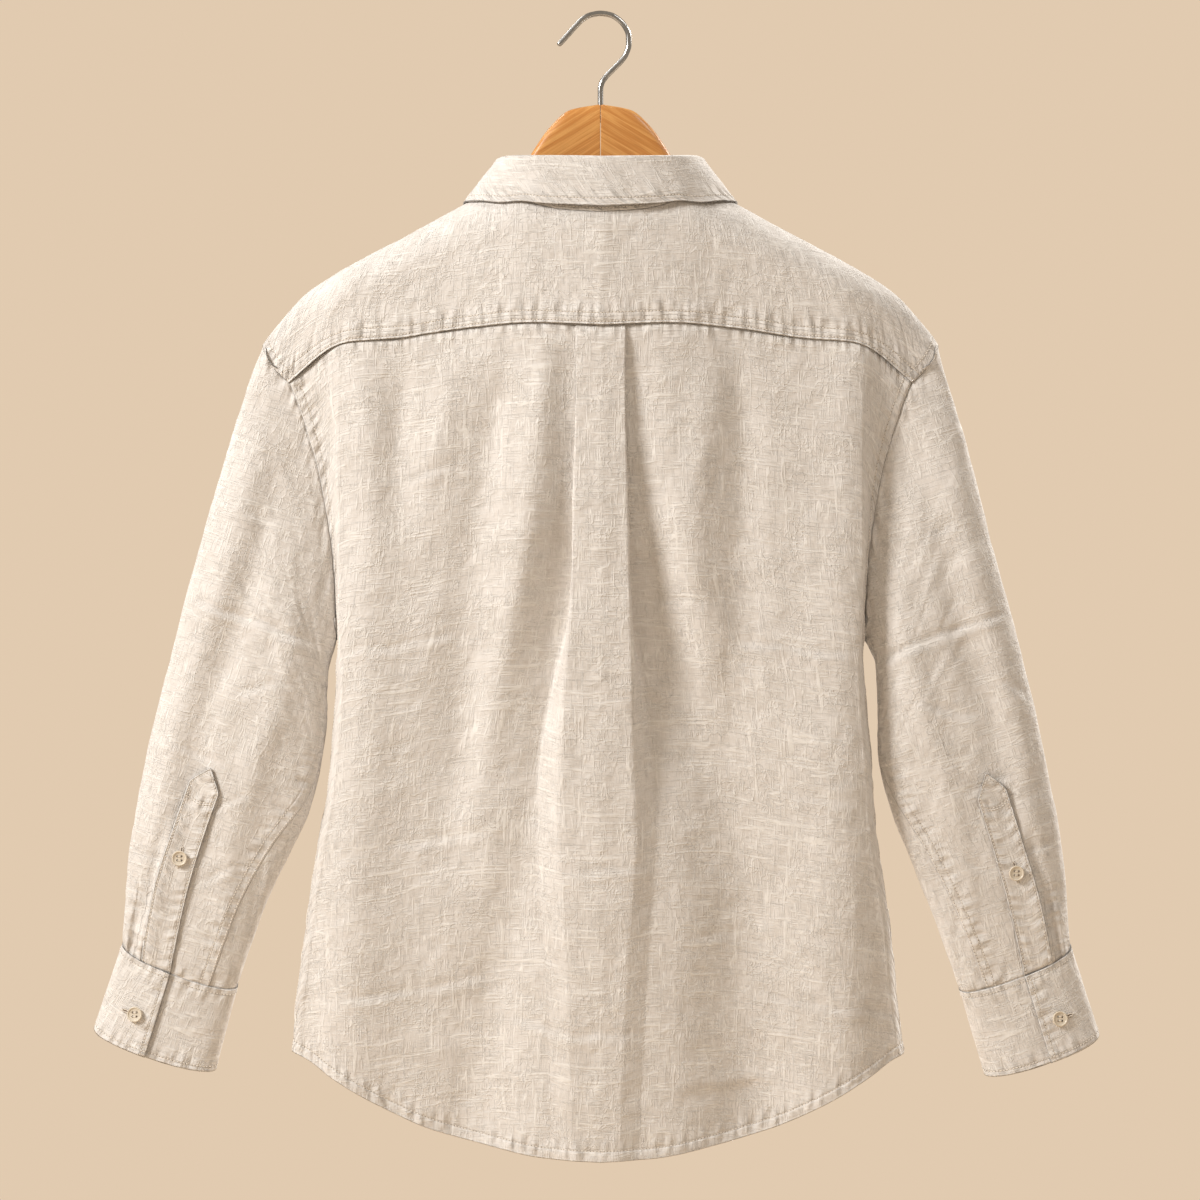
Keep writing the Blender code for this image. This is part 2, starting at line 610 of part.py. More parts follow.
def cuff_point(hand, down, place, layer):
    """Point of a cuff: place runs round it, from the outer edge over the back to the front."""
    top, bottom = CUFF_LEFT if hand > 0 else CUFF_RIGHT
    outer_x, outer_z, inner_x, inner_z = (a + (b - a) * down for a, b in zip(top, bottom))
    depth = CUFF_DEPTH[0] + (CUFF_DEPTH[1] - CUFF_DEPTH[0]) * down
    centre = (outer_x + inner_x) / 2
    half = (outer_x - inner_x) / 2 + layer
    swell = np.sign(np.sin(place)) * np.abs(np.sin(place)) ** 0.8
    x = centre + half * np.cos(place)
    level = (outer_z + inner_z) / 2 + (outer_z - inner_z) / 2 * np.cos(place)
    return np.stack([hand * x, (depth + layer) * swell, level - CUFF_DIP * swell], -1)


def cuff_places(count):
    """Places round a cuff from its hidden end, past the front, to its lapping end."""
    lap = math.acos(1 - 2 * CUFF_LAP_EDGE)
    hidden = math.acos(1 - 2 * CUFF_UNDERLAP)
    return np.linspace(hidden, lap + 2 * math.pi, count)


def cuff_layer(places):
    full = 2 * math.pi
    rise = soft_step(full - 0.9, full + cuff_places(2)[0] - 0.1, places)
    drop = soft_step(math.pi * 0.85, 0.95, places)
    return CUFF_LAYER * (rise - drop)


def cuff_grid(hand):
    places = cuff_places(31)
    grid = np.stack([cuff_point(hand, down, places, cuff_layer(places)) for down in (0, 0.5, 1)])
    return grid if hand < 0 else grid[:, ::-1]


def placket_grid(hand):
    """Pointed strip over the sleeve's slit, made from the sleeve's points and moved out."""
    lines = []
    for share in np.linspace(PLACKET[0][0], PLACKET[-1][0], 10):
        middle, half = through(PLACKET, share), through(PLACKET, share, 2)
        across = middle + half * np.linspace(-1, 1, 5)
        around = np.sin(np.arccos(1 - 2 * across))
        lines.append(sleeve_point(hand, share, across, around))
    grid = np.stack(lines)
    normal = normals_of(grid, False)
    normal *= np.sign(normal[..., 1:2])
    grid = grid + normal * np.linspace(*PLACKET_LIFT, len(grid))[:, None, None]
    return grid if hand > 0 else grid[:, ::-1]


def stand_grid():
    places = np.linspace(-STAND_LAP, STAND_LAP, 35)
    base = neck_point(places)
    share = np.abs(places)
    top = base * np.array([STAND_TOP_SHARE[0], STAND_TOP_SHARE[1], 0])
    top[:, 2] = through(STAND_TOP, share)
    layer = STAND_LAYER * np.sign(places) * soft_step(0.76, 0.93, share)
    base[:, 1] -= layer
    top[:, 1] -= layer
    base[:, 2] += SEAM_GAP + STAND_OVER_RIDGE * soft_step(0.28, 0.42, share) * soft_step(0.72, 0.6, share)
    return np.stack([base, (base + top) / 2, top])[:, ::-1]


def leaf_grid():
    shares = np.linspace(-1, 1, 37)
    place = shares * LEAF_END
    size = np.abs(shares)
    base = neck_point(place)
    top = base * np.array([STAND_TOP_SHARE[0], STAND_TOP_SHARE[1], 0])
    top[:, 2] = through(STAND_TOP, np.abs(place))
    out = top * np.array([0.4, 1, 0])
    out /= np.linalg.norm(out, axis=1, keepdims=True)
    up = np.array([0, 0, 1.0])
    lines = [top + up * (rise + SEAM_GAP) + out * push for rise, push in LEAF_ROLL]
    edge_x = through(LEAF_EDGE, size) * np.sign(shares)
    edge = over_ridge(edge_x, through(LEAF_EDGE, size, 2))
    standoff = LEAF_BACK_STANDOFF * soft_step(0.4, 0.1, size)
    edge[:, 1] += standoff
    edge[:, 2] += LEAF_CLEAR * soft_step(0.85, 0.55, size)
    start = lines[-1]
    for step in (0.3, 0.65, 1.0):
        lines.append(clear_of_body(start + (edge - start) * step, size))
    return np.stack(lines)[:, ::-1]


def clear_of_body(points, size):
    """Moves the collar's points out until they stand clear of yoke and fronts."""
    x, y, z = points.T
    side = np.where(size < 0.52, 1, -1)
    needed = np.where(side > 0, depth_at(x, z - LEAF_CLEAR, 1), depth_at(x, z - LEAF_CLEAR, -1))
    over_stand = LEAF_OVER_STAND * (side < 0) * soft_step(-222, -196, z)
    below = z - LEAF_CLEAR < through(RIDGE, np.abs(x))
    needed = np.where(below, needed + LEAF_CLEAR + over_stand, 0)
    return np.stack([x, side * np.maximum(side * y, needed), z], -1)


def band_grid():
    """Front band, laid on the left front from its lapped edge inwards."""
    front = front_grid(1)
    normal = normals_of(front, False)
    normal *= -np.sign(normal[..., 1:2])
    laid = (front + normal * LAID_ON)[:, -5:]
    laid[0, :, 2] -= 0.3
    return laid


def wood_half(hand, material):
    places = np.array([0.2, 8, 16, 25, 34, 42, 51, 60, 68, 76, 84, 92, 112, 135, 162, 189, 207, 215,
                       218.6, WOOD_END])
    angles = np.arange(12) / 12 * 2 * math.pi + math.pi / 12
    rings = []
    for place in places:
        top, bottom = through(WOOD_TOP, place), through(WOOD_BOTTOM, place)
        near_end = math.sqrt(max(1 - max((place - WOOD_END + 9) / 9.4, 0) ** 2, 0.02))
        middle, half = (top + bottom) / 2, (top - bottom) / 2
        half_y = WOOD_HALF_THICK * (0.55 + 0.45 * near_end)
        corner = np.abs(np.cos(angles)) ** 0.85 * np.sign(np.cos(angles))
        rise = np.abs(np.sin(angles)) ** 0.6 * np.sign(np.sin(angles))
        lean = 4 * (1 - near_end)
        rings.append(np.stack([hand * (place + 0 * angles), half_y * corner,
                               middle - lean + half * near_end * rise], -1))
    return loft(f"hanger_wood_{'left' if hand > 0 else 'right'}", np.array(rings), material)


def drill_for_hook(parts):
    """Hole down the joint of the two halves, in which the hook's stem stands."""
    bpy.ops.mesh.primitive_cylinder_add(vertices=12, radius=HOOK_HOLE * MM, depth=60 * MM,
                                        location=(0, 0, (HOOK_PATH[-1][1] - 0.4 + 30) * MM))
    cutter = bpy.context.object
    cutter.name = "hook_hole_cutter"
    cutter.hide_render = True
    cutter.display_type = "WIRE"
    for part in parts:
        cut = part.modifiers.new("hook_hole", "BOOLEAN")
        cut.operation = "DIFFERENCE"
        cut.object = cutter


def hook(material):
    path = np.array([(x, 0, z) for x, z in HOOK_PATH], float)
    along = np.gradient(path, axis=0)
    along /= np.linalg.norm(along, axis=1, keepdims=True)
    across = np.cross(along, (0, 1, 0))
    angles = np.arange(8) / 8 * 2 * math.pi
    rings = [point + HOOK_RADIUS * (np.outer(np.cos(angles), side)
                                    + np.outer(np.sin(angles), (0, 1, 0)))
             for point, side in zip(path, across)]
    tip = path[0] - along[0] * 1.4
    small = tip + (rings[0] - path[0]) * 0.45
    return loft("hanger_hook", np.array([small] + rings), material)


def button(name, seat, normal, material):
    """Dished disc lying on the cloth at a seat point, facing along the normal."""
    profile = ((BUTTON_RADIUS - 0.8, 0), (BUTTON_RADIUS, 0.9), (BUTTON_RADIUS - 0.5, BUTTON_THICK),
               (BUTTON_RADIUS - 1.6, BUTTON_THICK - BUTTON_DISH))
    normal = np.array(normal, float) / np.linalg.norm(normal)
    side = np.cross(normal, (0, 0, 1.0))
    side /= np.linalg.norm(side)
    up = np.cross(side, normal)
    angles = np.arange(12) / 12 * 2 * math.pi
    rings = [np.array(seat) + normal * height + radius * (np.outer(np.cos(angles), side)
                                                          + np.outer(np.sin(angles), up))
             for radius, height in profile]
    return loft(name, np.array(rings), material)


def buttons(material):
    band = band_grid()
    middle = band[:, 2]
    normal = normals_of(band, False)[:, 2]
    for number, z in enumerate(BUTTON_DROPS, 1):
        if number == 1:
            seat = np.array([0, neck_point(np.array([1.0]))[0, 1] * 0.95 - STAND_LAYER, z])
            lean = np.array([0, -1, 0.12])
            seat += lean * (STIFF_WALL / 2 + BUTTON_SEAT + 0.35)
        else:
            seat, lean = (np.array([np.interp(-z, -middle[:, 2], line[:, axis]) for axis in range(3)])
                          for line in (middle, normal))
            lean *= -np.sign(lean[1])
            seat += lean * (WALL / 2 + BUTTON_SEAT)
        button(f"button_front_{number}", seat, lean, material)
    for hand, name in ((1, "left"), (-1, "right")):
        place = math.acos(1 - 2 * (CUFF_BUTTON + 0.1)) + 2 * math.pi
        around = np.array([place - 0.15, place, place + 0.15])
        patch = np.stack([cuff_point(hand, down, around, CUFF_LAYER) for down in (0.4, 0.58, 0.76)])
        lean = normals_of(patch, False)[1, 1]
        lean *= np.sign(lean[1])
        button(f"button_cuff_{name}", patch[1, 1] + lean * (STIFF_WALL / 2 + BUTTON_SEAT + 0.2), lean,
               material)
        strip = placket_grid(hand)
        row = round((PLACKET_BUTTON - PLACKET[0][0]) / (PLACKET[-1][0] - PLACKET[0][0]) * 9)
        lean = normals_of(strip, False)[row, 2]
        lean *= np.sign(lean[1])
        seat = strip[row, 2] + lean * (WALL / 2 + BUTTON_SEAT + 0.5)
        button(f"button_placket_{name}", seat, lean, material)


def main():
    clear_scene()
    finish = make_materials()
    linen = finish["linen"]
    yoke = yoke_grid()
    wall("yoke", yoke, YOKE_WALL, linen)
    wall("back_panel", back_grid(), WALL, linen)
    for hand, name in ((1, "left"), (-1, "right")):
        wall(f"front_{name}", front_grid(hand), WALL, linen)
        wall(f"sleeve_{name}", sleeve_grid(hand, yoke), WALL, linen, closed=True)
        wall(f"cuff_{name}", cuff_grid(hand), STIFF_WALL, linen)
        wall(f"sleeve_placket_{name}", placket_grid(hand), WALL, linen)
    wall("front_band", band_grid(), WALL, linen)
    wall("collar_stand", stand_grid(), STIFF_WALL, linen)
    wall("collar_leaf", leaf_grid(), YOKE_WALL, linen)
    buttons(finish["button"])
    halves = [wood_half(hand, finish["wood"]) for hand in (1, -1)]
    drill_for_hook(halves)
    hook(finish["steel"])


main()
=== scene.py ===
"""Looks of the linen shirt on its hanger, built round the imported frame.

Sizes and tables are in millimetres, and meshes are made in metres, in the frame's own axes.
"""
import math
import bpy
import numpy as np
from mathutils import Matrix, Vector


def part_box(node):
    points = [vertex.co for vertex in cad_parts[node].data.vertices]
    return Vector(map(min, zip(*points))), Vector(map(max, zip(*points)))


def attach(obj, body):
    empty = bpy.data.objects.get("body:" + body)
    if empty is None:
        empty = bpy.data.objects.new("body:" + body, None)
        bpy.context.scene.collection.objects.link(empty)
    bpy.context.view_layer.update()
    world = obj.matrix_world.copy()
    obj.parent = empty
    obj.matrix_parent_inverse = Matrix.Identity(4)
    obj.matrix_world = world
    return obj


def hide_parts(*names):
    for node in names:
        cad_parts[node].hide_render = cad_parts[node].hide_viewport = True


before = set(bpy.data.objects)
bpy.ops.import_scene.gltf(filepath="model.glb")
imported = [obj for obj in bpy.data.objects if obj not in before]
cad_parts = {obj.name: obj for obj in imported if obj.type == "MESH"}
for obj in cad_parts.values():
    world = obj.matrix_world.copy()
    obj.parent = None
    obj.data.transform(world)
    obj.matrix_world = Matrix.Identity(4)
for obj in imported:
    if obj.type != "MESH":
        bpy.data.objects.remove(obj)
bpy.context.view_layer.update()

MM = 0.001
HANDS = {1: "left", -1: "right"}

# Cloth and seams
WALL = 1.0
YOKE_WALL = 1.5
STIFF_WALL = 1.9
SEAM_GAP = 0.5
LAID_ON = 1.7
PLACKET_LIFT = (2.7, 1.6)

# Shoulder ridge: distance from the centre, height
RIDGE = ((0, -130), (60, -133), (92, -146), (112, -156.5), (153, -179), (189, -197.5),
         (219, -214), (245, -232), (264, -253), (276, -268), (284, -282))
# How far back and front stand from the ridge's plane: distance from the centre, depth
BACK_DEPTH = ((0, 45), (60, 41), (92, 36), (120, 32), (160, 29), (200, 27), (216, 24), (235, 18),
              (257, 12), (284, 7))
FRONT_DEPTH = ((0, 50), (50, 47), (92, 37), (120, 31), (160, 27), (200, 24), (216, 21), (235, 16),
               (257, 11), (284, 7))
# Drop in which the cloth turns from the ridge to the vertical: distance from the centre, drop
TURN_DROP = ((0, 50), (92, 42), (150, 33), (220, 27), (284, 20))

# Seam lines
NECK_LINE = ((0, 0, 0.82), (0.15, 31, 0.80), (0.28, 58, 0.70), (0.38, 78, 0.50), (0.46, 89, 0.22),
             (0.52, 92, 0), (0.58, 91, -0.28), (0.66, 83, -0.62), (0.76, 64, -0.92),
             (0.88, 34, -1.18), (1, 0, -1.27))
YOKE_SEAM = ((0, -258), (57, -256), (117, -261), (166, -268), (206, -271), (219, -275),
             (257, -304))
YOKE_END = 257
YOKE_NECK = 0.42
SHOULDER_BOW = 16
NECK_CORNER = 0.55
FRONT_SEAM = ((0.55, 91.7, -0.14), (0.8, 182, -0.55), (1, 267.5, -1.23))
BACK_ARMHOLE_TOP = -304
FRONT_ARMHOLE_TOP = -286
UNDERARM = -515
SIDE_HEM = -854
ARMHOLE_EDGE = ((-515, 218), (-484, 219.8), (-450, 222), (-404, 228), (-377, 233),
                (-352, 240), (-329, 247), (-304, 257), (-286, 268))
ARMHOLE_DEPTH = ((-515, 3.5), (-480, 6), (-430, 8.5), (-360, 10), (-304, 12), (-286, 9.7))
TIGHT_GAP = 1.0
FOLD_EDGE = 214
SIDE_LEFT = ((-854, 254.8), (-793, 248.5), (-743, 241.9), (-679, 232), (-638, 225), (-588, 220.6),
             (-522, 216.5), (-500, 216))
SIDE_RIGHT = ((-855, 250.4), (-801, 243.6), (-743, 237.1), (-679, 228.2), (-604, 222.6),
              (-522, 216.2), (-500, 216))
HEM = ((0, -940.5), (41, -938.5), (94, -929), (138, -917), (178, -899), (218, -876), (240, -861),
       (255, -854))
FRONT_HEM_RISE = 26
SIDE_SEAM_DEPTH = 5

# Box pleat: height, centre, half width, fold angle in degrees, turn radius, lift
PLEAT = ((-941, 4, 26, 16, 9, 9), (-778, 3, 32, 20, 9, 9), (-680, 3, 38, 28, 9, 8),
         (-620, 3, 34, 48, 7, 7), (-556, 2, 30, 75, 4.5, 6), (-480, 0, 25, 108, 2.6, 5),
         (-420, 0, 22.5, 140, 1.4, 4), (-360, 0, 21, 165, 1.0, 3), (-310, 0, 20.3, 176, 0.92, 2.2),
         (-250, 0, 20, 180, 0.9, 1.8))
PLEAT_UNDERLAY = 15

# Hanging folds of the back: rows of height, centre, rise, half width
BACK_FOLDS = (
    ((-930, 104, -9, 34), (-830, 90, -10, 32), (-730, 70, -9, 26), (-630, 52, -7, 18),
     (-532, 36, -5, 14), (-400, 28, -4, 13), (-280, 26, -3, 12)),
    ((-700, 112, 0, 18), (-630, 97, 3, 16), (-581, 88, 5, 15), (-483, 69, 5, 14),
     (-384, 56, 4, 13), (-290, 45, 3, 12)),
    ((-720, 128, 0, 24), (-630, 121, -4, 22), (-532, 111, -6, 20), (-434, 102, -6, 18),
     (-335, 87, -5, 14), (-285, 76, -2, 12)),
    ((-450, 145, 0, 14), (-384, 137, 2.5, 14), (-335, 127, 4, 14), (-290, 118, 2.5, 13)),
    ((-430, 170, 0, 12), (-384, 168, -2.5, 12), (-335, 164, -4, 11), (-290, 161, -2, 10)),
    ((-930, 212, 7, 34), (-730, 205, 9, 34), (-581, 192, 7, 28), (-434, 187, 4, 18),
     (-290, 196, 3, 14)),
    ((-720, -96, 0, 28), (-630, -82, -4, 24), (-532, -64, -6, 18), (-434, -45, -6, 15),
     (-335, -32, -4, 13), (-280, -27, -3, 12)),
    ((-520, -84, 0, 13), (-434, -76, 3, 13), (-335, -86, 3, 14), (-290, -90, 1.5, 13)),
    ((-930, -122, -8, 36), (-729, -112, -9, 34), (-630, -107, -6, 26), (-483, -116, -5, 18),
     (-335, -117, -4, 14), (-285, -112, -2, 12)),
    ((-930, -196, 8, 36), (-680, -197, 9, 36), (-434, -200, 6, 32), (-290, -204, 3, 24)),
)
FRONT_FOLDS = (
    ((-890, 90, -6, 24), (-600, 82, -5, 20), (-420, 70, -4, 16), (-280, 66, -1, 14)),
    ((-870, 150, 6, 28), (-600, 138, 5, 24), (-350, 120, 3, 20)),
    ((-850, 205, -5, 20), (-600, 186, -4, 16), (-450, 180, 0, 14)),
    ((-890, -84, -5, 22), (-640, -74, -5, 20), (-380, -60, -3, 16), (-280, -60, -1, 14)),
    ((-870, -142, 6, 30), (-560, -132, 5, 26), (-330, -116, 3, 20)),
    ((-850, -204, -4, 20), (-620, -188, -4, 16), (-470, -180, 0, 14)),
)

# Sleeves: share of the length, outer edge x and z, inner edge x and z, half depth
SLEEVE_LEFT = (
    (0, 280, -271, 217, -515, 13), (0.06, 290, -298, 221, -522, 17),
    (0.14, 303, -340, 225, -536, 20), (0.24, 316, -386, 226, -553, 22),
    (0.36, 333, -447, 226.5, -580, 23), (0.5, 351, -514, 229, -608, 23),
    (0.64, 369, -584, 240, -655, 22), (0.78, 383, -652, 256, -689, 20),
    (0.9, 391, -708, 276, -731, 18), (1, 393.5, -766, 300.5, -800, 15))
SLEEVE_RIGHT = (
    (0, 280, -271, 217, -515, 13), (0.06, 289, -306, 221, -521, 17),
    (0.14, 300, -346, 225.5, -532, 20), (0.24, 313, -396, 228, -552, 22),
    (0.36, 329, -457, 229, -578, 23), (0.5, 346, -519, 230, -612, 23),
    (0.64, 363, -590, 240, -655, 22), (0.78, 377, -664, 255, -694, 20),
    (0.9, 385, -722, 275, -742, 18), (1, 387, -768, 297, -802, 15))
SLEEVE_DIP = 9
SLEEVE_FOLDS_LEFT = (
    ((-700, 345, 0, 12), (-600, 330, -3, 13), (-480, 290, -4, 14), (-360, 268, -1, 10)),
    ((-760, 372, 2, 9), (-620, 358, 4, 13), (-420, 300, 3, 13), (-330, 284, 1, 10)),
    ((-740, 312, 2, 10), (-640, 292, 4, 14), (-560, 262, 4, 14), (-470, 250, 1, 10)),
)
SLEEVE_FOLDS_RIGHT = (
    ((-700, -341, 0, 12), (-600, -326, -3, 13), (-500, -296, -5, 14), (-360, -266, -1, 10)),
    ((-760, -368, 2, 9), (-600, -348, 4, 13), (-430, -304, 3, 13), (-330, -284, 1, 10)),
    ((-740, -308, 2, 10), (-640, -284, 4, 14), (-540, -254, 4, 13), (-470, -246, 1, 10)),
)

# Cuffs: outer edge x and z, inner edge x and z, at the top and at the bottom
CUFF_LEFT = ((393.5, -766.8, 300.5, -800.8), (417, -836, 318, -868.5))
CUFF_RIGHT = ((387.5, -768.7, 297, -803), (410.5, -841, 317.5, -872.5))
CUFF_DEPTH = (15, 18)
CUFF_DIP = 9
CUFF_LAP_EDGE = 0.43
CUFF_UNDERLAP = 0.17
CUFF_LAYER = 1.35

# Sleeve plackets: share of the sleeve's length, middle and half width as shares across
PLACKET = ((0.66, 0.40, 0.004), (0.70, 0.388, 0.098), (0.80, 0.355, 0.105), (0.90, 0.325, 0.118),
           (0.985, 0.30, 0.128))

# Collar
STAND_TOP = ((0, -125), (0.3, -123.5), (0.52, -121.5), (0.7, -131), (0.85, -152), (1, -169))
STAND_TOP_SHARE = (0.855, 0.9)
STAND_LAP = 1.05
STAND_LAYER = 1.4
STAND_OVER_RIDGE = 1.8
LEAF_END = 0.985
LEAF_ROLL = ((0.9, 0), (2.6, 0.5), (3.7, 3.2), (2.7, 6.0))
LEAF_EDGE = ((0, 0, 0.79), (0.15, 42, 0.77), (0.28, 75, 0.67), (0.38, 98, 0.42), (0.46, 109, 0.2),
             (0.52, 113, 0), (0.6, 113.5, -0.42), (0.7, 107, -0.82), (0.8, 96, -1.17),
             (0.9, 78, -1.53), (1, 58, -1.8))
LEAF_CLEAR = 2.4
LEAF_BACK_STANDOFF = 6
LEAF_OVER_STAND = 3.2

# Front closure
FRONT_LAP = 16
LAP_LAYER = 0.85

# Buttons
BUTTON_THICK = 2.6
BUTTON_SEAT = 0.4
BUTTON_REACH = 6.5

# Hanger
WOOD_TOP = ((0, -72.7), (25, -77.5), (42, -92), (60, -118), (68, -129.5), (76, -139), (84, -145),
            (92, -149.5), (112, -159), (135, -171), (153, -181), (189, -199.5), (210, -210.8),
            (220, -217.5))
WOOD_BOTTOM = ((0, -126), (30, -129), (60, -147), (90, -170), (112, -183), (150, -204),
               (200, -230), (220, -238))
WOOD_HALF_THICK = 7
WOOD_END = 220
WOOD_ROUNDING = 9
WOOD_SIDES = 36
HOOK_RADIUS = 2.3
HOOK_SIDES = 20
HOOK_PATH = ((33.6, -22.7), (27.3, -15.8), (20.9, -8.6), (14.8, -2.6), (8, 1.0), (0, 2.3),
             (-8, 1.1), (-14.8, -2.7), (-20.2, -8.6), (-23.2, -16), (-23.4, -23.5),
             (-21, -31.5), (-16.4, -38), (-10, -44.5), (-4.2, -50.5), (-1, -55.5), (0, -61),
             (0, -74), (0, -88))


def through(rows, at, column=1):
    """Smooth curve through a table's rows, read at an array of places in its first column."""
    places = np.array([row[0] for row in rows], float)
    values = np.array([row[column] for row in rows], float)
    at = np.clip(at, places[0], places[-1])
    steps = np.diff(values) / np.diff(places)
    before, after = steps[:-1], steps[1:]
    same_way = before * after > 0
    inner = np.zeros_like(before)
    inner[same_way] = 2 * before[same_way] * after[same_way] / (before + after)[same_way]
    slopes = np.concatenate([steps[:1], inner, steps[-1:]])
    left = np.clip(np.searchsorted(places, at, side="right") - 1, 0, len(steps) - 1)
    width = places[left + 1] - places[left]
    t = (at - places[left]) / width
    start = values[left] * (1 + 2 * t) * (1 - t) ** 2 + slopes[left] * width * t * (1 - t) ** 2
    end = values[left + 1] * t * t * (3 - 2 * t) + slopes[left + 1] * width * t * t * (t - 1)
    return start + end


def circle(count):
    """Even angles all the way round."""
    return np.arange(count) / count * 2 * math.pi


def unit(vectors):
    """Vectors of length 1 in the same directions."""
    return vectors / np.maximum(np.linalg.norm(vectors, axis=-1, keepdims=True), 1e-9)


def soft_step(low, high, at):
    """Smooth step from 0 at one place to 1 at another."""
    t = np.clip((at - low) / (high - low), 0, 1)
    return t * t * (3 - 2 * t)


def relief(folds, x, z):
    """Rise of the hanging folds at a place of the cloth."""
    total = np.zeros(np.broadcast(x, z).shape)
    for fold in folds:
        centre, rise, half = (through(fold, z, column) for column in (1, 2, 3))
        fade = soft_step(fold[-1][0] + 40, fold[-1][0] - 30, z)
        fade = fade * soft_step(fold[0][0] - 60, fold[0][0] + 20, z)
        total = total + rise * fade * np.exp(-((x - centre) / half) ** 2)
    return total


def depth_at(x, z, side):
    """Distance of back (side 1) or front (side -1) from the ridge's plane."""
    across = np.abs(x)
    drop = np.maximum(through(RIDGE, across) - z, 0) / through(TURN_DROP, across)
    turn = np.sqrt(1 - (1 - np.minimum(drop, 1)) ** 2)
    return through(BACK_DEPTH if side > 0 else FRONT_DEPTH, across) * turn


def over_ridge(x, around):
    """Point of the form at x, where around runs from 0 on the ridge to 1 where it is upright."""
    across = np.abs(x)
    height = through(TURN_DROP, across)
    bend = np.clip(np.abs(around), 0, 1) * math.pi / 2
    hang = np.maximum(np.abs(around) - 1, 0) * math.pi / 2
    z = through(RIDGE, across) - height * (1 - np.cos(bend) + hang)
    depth = np.where(around > 0, through(BACK_DEPTH, across), -through(FRONT_DEPTH, across))
    return np.stack([x + 0 * z, depth * np.sin(bend), z], -1)


def around_at(x, z):
    """The place around the ridge at which the back of the form reaches a height."""
    across = np.abs(x)
    drop = (through(RIDGE, across) - z) / through(TURN_DROP, across)
    bend = np.arccos(1 - np.clip(drop, 0, 1)) / (math.pi / 2)
    return np.where(drop < 1, bend, 1 + (drop - 1) / (math.pi / 2))


def normals_of(grid, closed):
    """Unit normals of a grid of points, rows by columns."""
    if closed:
        along = np.roll(grid, -1, 1) - np.roll(grid, 1, 1)
    else:
        along = np.gradient(grid, axis=1)
    down = np.gradient(grid, axis=0)
    return unit(np.cross(along, down))


def side_edge(z, hand):
    """Distance of the side seam from the centre, on the left (hand 1) or right (-1)."""
    return through(SIDE_LEFT if hand > 0 else SIDE_RIGHT, z)


def panel_edge(z, hand):
    """Outer edge of a body panel and its depth there: the armhole above, the side seam below."""
    above = soft_step(UNDERARM - 12, UNDERARM + 6, z)
    armhole = through(ARMHOLE_EDGE, z) - SEAM_GAP - TIGHT_GAP * soft_step(-380, -460, z)
    x = armhole * above + (side_edge(z, hand) - 0.5) * (1 - above)
    return x, above, through(ARMHOLE_DEPTH, z)


def side_turn(z, hand, side, share, fold_y):
    """Cloth between the upright fold edge and the panel's outer edge, as a cubic curve."""
    edge, above, arm_y = panel_edge(z, hand)
    fold = fold_line(z, hand)
    seam_y = arm_y * above + side * SIDE_SEAM_DEPTH * (1 - above) + SEAM_GAP * 0.6 * (1 - above)
    width = edge - fold
    lead = np.minimum(3, 0.4 * width) * above + 0.6 * width * (1 - above)
    tail_x = (fold + 0.5 * width) * above + edge * (1 - above)
    tail_y = seam_y * above + (seam_y + 0.5 * (fold_y - seam_y)) * (1 - above)
    rest = 1 - share
    a, b, c, d = rest ** 3, 3 * share * rest ** 2, 3 * share ** 2 * rest, share ** 3
    x = a * fold + b * (fold + lead) + c * tail_x + d * edge
    y = a * fold_y + b * fold_y + c * tail_y + d * seam_y
    return hand * x, y


def fold_line(z, hand):
    """Distance of the upright fold edge from the centre."""
    above = soft_step(-560, -500, z)
    return FOLD_EDGE * above + (side_edge(z, hand) - 8) * (1 - above)


def back_section(kind, share, hand, z):
    """One place across the back: its x and its y."""
    centre, half, degrees, radius, lift = (through(PLEAT, z, column) for column in range(1, 6))
    angle = np.radians(degrees)
    sin, cos = np.sin(angle), np.cos(angle)
    turn = angle * share
    fold_x = half - radius + radius * np.sin(turn)
    fold_y = radius * np.cos(turn) - radius
    under_x = half - radius + radius * sin + PLEAT_UNDERLAY * cos
    under_y = radius * cos - radius - PLEAT_UNDERLAY * sin
    heart_x, heart_y = under_x + radius * sin, under_y + radius * cos
    back_turn = angle * (1 - share)
    start_x, start_y = heart_x, heart_y - radius
    opened = 1 - soft_step(30, 60, degrees)
    if kind == "band":
        x = centre + hand * share * (half - radius)
        return x, depth_at(x, z, 1) + lift + opened * relief(BACK_FOLDS, x, z)
    if kind == "edge":
        x = centre + hand * fold_x
        return x, depth_at(x, z, 1) + lift + fold_y + opened * relief(BACK_FOLDS, x, z)
    if kind == "under":
        x = centre + hand * (heart_x - radius * np.sin(back_turn))
        folds = (opened + (1 - opened) * share) * relief(BACK_FOLDS, x, z)
        return x, depth_at(x, z, 1) + lift + heart_y - radius * np.cos(back_turn) + folds
    fold = fold_line(z, hand)
    first = hand * centre + start_x
    across = first + (fold - first) * np.where(kind == "main", share, 1)
    spread = 22 + 40 * soft_step(-300, -700, z)
    sink = (lift + start_y) * np.exp(-((across - first) / spread) ** 2)
    x = hand * across
    y = depth_at(x, z, 1) + sink + relief(BACK_FOLDS, x, z)
    if kind == "main":
        return x, y
    return side_turn(z, hand, 1, share, y)


def column_ends(section, top_line, bottom_line):
    """Heights at which a column of a panel starts and ends, found by reading x and z in turn."""
    top = np.array(top_line(0.0))
    bottom = np.array(bottom_line(0.0))
    for _ in range(6):
        top = top_line(section(top)[0])
        bottom = bottom_line(section(bottom)[0])
    return top, bottom


def seam_below_yoke(x):
    across = np.abs(x)
    return through(YOKE_SEAM, across) - SEAM_GAP - 0.8 * TIGHT_GAP * soft_step(185, 212, across)


def back_hem(x):
    return through(HEM, np.abs(x))


